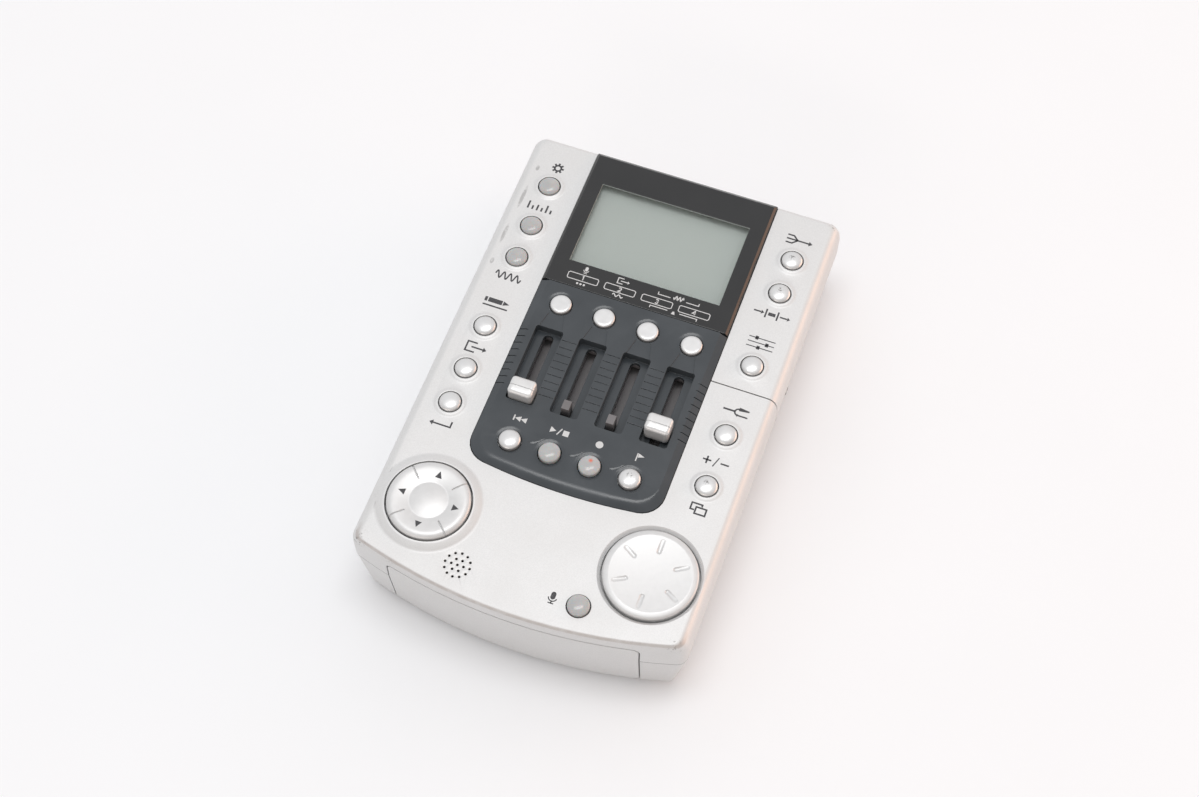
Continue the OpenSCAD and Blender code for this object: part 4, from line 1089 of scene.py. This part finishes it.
def print_panel(finishes):
    ink = Print(PANEL_Z)
    boxes = [BOX_PITCH * (i - 1.5) for i in range(4)]
    for number, x in enumerate(boxes, 1):
        ink.move(x, BOX_Y)
        ink.line(*frame_line(0, 0, BOX_W, BOX_D, 0.3), width=0.22)
        ink.line(*DIGITS[number], width=0.26)
    ink.move(boxes[0], OVER_Y, 0.78)
    microphone(ink)
    ink.move(boxes[1], OVER_Y, 0.7)
    leave(ink)
    pair = (boxes[2] + boxes[3]) / 2
    ink.move(pair, OVER_Y)
    ink.line(*wave(1.3, 0.55, 3), width=0.28)
    for side in (-1, 1):
        ink.line((side * 5.4, 0.35), (side * 5.4, -0.4), (side * 2.1, -0.4), width=0.24)
    ink.move(boxes[0], UNDER_Y)
    for x in (-0.9, 0, 0.9):
        ink.disc(x, 0, 0.3)
    ink.move(boxes[1], UNDER_Y)
    ink.line(*wave(1.4, 0.36, 2), width=0.28)
    ink.move(pair, UNDER_Y)
    ink.shape((-0.5, -0.42), (0.5, -0.42), (0.2, 0.42), (-0.2, 0.42))
    for side in (-1, 1):
        ink.line((side * 6.2, -0.4), (side * 6.2, 0.25), (side * 1.6, 0.25), width=0.24)
    places = [(middle(key).x + 0.3, middle(key).y + TRANSPORT_MARK) for key in TRANSPORT_KEYS]
    ink.move(*places[0])
    ink.bar(-1.75, -0.75, -1.4, 0.75)
    for x in (-1.35, 0.15):
        ink.shape((x, 0), (x + 1.5, 0.75), (x + 1.5, -0.75))
    ink.move(*places[1])
    ink.shape((-2.4, -0.8), (-0.9, 0), (-2.4, 0.8))
    ink.line((-0.5, -0.95), (0.35, 0.95), width=0.3)
    ink.bar(0.85, -0.75, 2.35, 0.75)
    ink.move(*places[2])
    ink.disc(0, 0, 0.95)
    ink.move(*places[3])
    ink.bar(-0.85, -1.1, -0.55, 1.1)
    ink.shape((-0.45, -0.05), (1.1, 0.5), (-0.45, 1.1))
    ink.finish("panel_marks", finishes["light_ink"], "white_plastic")


# Crescent ridges, from a neck at the left of three of the transport keys to the rear of their dishes
RIDGE_KEYS = TRANSPORT_KEYS[1:]
RIDGE_PATH = arc(-5.5, 3.3, 2.1, -100, -30, 8)[:-1] + arc(0, 0, 4.1, 148, 122, 7)
RIDGE_HALF = 0.42
RIDGE_THIN = 0.3
RIDGE_TILT = math.tan(math.radians(12))
RIDGE_ACROSS = 6
RIDGE_SINK = 0.1
RIDGE_TIP = 0.1


def ridge_half(t):
    """Half width of a ridge at a share of its path: it swells fast, thins out and ends in a tip."""
    swell = min(1, 6 * t + RIDGE_TIP)
    end = min(1, 5 * (1 - t) + RIDGE_TIP)
    return RIDGE_HALF * swell * (1 - (1 - RIDGE_THIN) * t) * end


def add_ridges(finishes):
    """Slivers that taper out along the path, each with a top that slopes down towards the front."""
    bm = bmesh.new()
    for key in RIDGE_KEYS:
        at = Vector((middle(key).x, middle(key).y))
        path = [at + Vector(p) for p in RIDGE_PATH]
        rows = []
        for i, spot in enumerate(path):
            way = (path[min(i + 1, len(path) - 1)] - path[max(i - 1, 0)]).normalized()
            side = Vector((-way.y, way.x))
            half = ridge_half(i / (len(path) - 1))
            row = []
            for k in range(RIDGE_ACROSS + 1):
                u = -1 + 2 * k / RIDGE_ACROSS
                plan = spot + side * half * u
                rise = RIDGE_TILT * half * (1 + u) * max(0, 1 - u ** 6)
                row.append(Vector((plan.x, plan.y, PANEL_Z + rise)))
            rows.append(row)
        tops = [[bm.verts.new(v * MM) for v in row] for row in rows]
        ends = [[Vector((v.x, v.y, PANEL_Z - RIDGE_SINK)) for v in (row[0], row[-1])] for row in rows]
        feet = [[bm.verts.new(v * MM) for v in pair] for pair in ends]
        for i in range(len(path) - 1):
            for k in range(RIDGE_ACROSS):
                bm.faces.new([tops[i][k], tops[i + 1][k], tops[i + 1][k + 1], tops[i][k + 1]])
            bm.faces.new([feet[i][0], feet[i][1], feet[i + 1][1], feet[i + 1][0]])
            bm.faces.new([tops[i][0], feet[i][0], feet[i + 1][0], tops[i + 1][0]])
            bm.faces.new([tops[i][-1], tops[i + 1][-1], feet[i + 1][1], feet[i][1]])
        for i in (0, -1):
            bm.faces.new(tops[i] + [feet[i][1], feet[i][0]])
    ridges = add_mesh("panel_ridges", bm, finishes["dark_panel"], "case")


# Stage and light
FLOOR_SIZE = 16.0
FLOOR_PATCH = 60
FLOOR_LOW = (0.88, 0.888, 0.905)
FLOOR_HIGH = (0.90, 0.908, 0.925)


def add_floor():
    bm = bmesh.new()
    bmesh.ops.create_grid(bm, x_segments=1, y_segments=1, size=FLOOR_SIZE / 2)
    mesh = bpy.data.meshes.new("floor")
    bm.to_mesh(mesh)
    bm.free()
    finish = Finish("floor_paper", Roughness=0.8)
    finish.feed("Base Color", finish.blend(finish.noise(FLOOR_PATCH, 2), FLOOR_LOW, FLOOR_HIGH))
    mesh.materials.append(finish.material)
    floor = bpy.data.objects.new("floor", mesh)
    scene.collection.objects.link(floor)


BRIGHT_AXIS = (-0.28, 0.57, 0.77)
SKY = [
    (-0.5, (0.57, 0.53, 0.50)),
    (0.1, (0.63, 0.612, 0.595)),
    (0.55, (0.86, 0.86, 0.865)),
    (0.95, (1.0, 1.0, 1.01)),
]
ROOM_LIGHT = 0.90


def add_world():
    """White room, brightest high behind the object at the left, dim and warm low in front."""
    world = bpy.data.worlds.new("white_room")
    world.use_nodes = True
    scene.world = world
    tree = world.node_tree
    back = tree.nodes["Background"]
    back.inputs["Strength"].default_value = ROOM_LIGHT
    coords = tree.nodes.new("ShaderNodeTexCoord")
    height = tree.nodes.new("ShaderNodeVectorMath")
    height.operation = "DOT_PRODUCT"
    height.inputs[1].default_value = BRIGHT_AXIS
    tree.links.new(coords.outputs["Generated"], height.inputs[0])
    share = tree.nodes.new("ShaderNodeMapRange")
    share.inputs["From Min"].default_value = -1
    tree.links.new(height.outputs["Value"], share.inputs["Value"])
    ramp = tree.nodes.new("ShaderNodeValToRGB")
    stops = ramp.color_ramp.elements
    while len(stops) < len(SKY):
        stops.new(0.5)
    for stop, (place, colour) in zip(stops, SKY):
        stop.position = (place + 1) / 2
        stop.color = (*colour, 1)
    tree.links.new(share.outputs["Result"], ramp.inputs["Fac"])
    tree.links.new(ramp.outputs["Color"], back.inputs["Color"])


# Lamps: name, place, size, power, colour, spin
LAMPS = [
    ("overhead", (-0.03, 0.09, 1.3), (0.85, 0.3), 4.6, (1, 1, 1), 20),
    ("warm_side", (1.05, 0.54, 0.22), (1.2, 0.5), 4.4, (1.0, 0.54, 0.33), 0),
    ("warm_front", (-0.1, -1.0, 0.45), (0.8, 0.12), 1.2, (1.0, 0.88, 0.82), 0),
]


def add_lamp(name, at, size, power, colour, spin):
    """Area lamp aimed at the origin; spin turns it about its own axis, in degrees."""
    data = bpy.data.lights.new(name, "AREA")
    data.shape = "RECTANGLE"
    data.size, data.size_y = size
    data.energy = power
    data.color = colour
    lamp = bpy.data.objects.new(name, data)
    lamp.location = at
    lamp.rotation_mode = "QUATERNION"
    turn = Quaternion((0, 0, 1), math.radians(spin))
    lamp.rotation_quaternion = (-Vector(at)).to_track_quat("-Z", "Y") @ turn
    scene.collection.objects.link(lamp)


# Build
add_camera()
finishes = make_finishes()
dress_nodes(finishes)
for key_node in DOME_KEYS + STATUS_KEYS:
    add_key(key_node, finishes)
add_dial(finishes)
add_pad(finishes)
for cap_node in CAPS:
    add_cap(cap_node, finishes)
add_ridges(finishes)
print_case(finishes)
print_panel(finishes)
add_floor()
add_world()
for lamp in LAMPS:
    add_lamp(*lamp)
scene.view_settings.view_transform = "Standard"
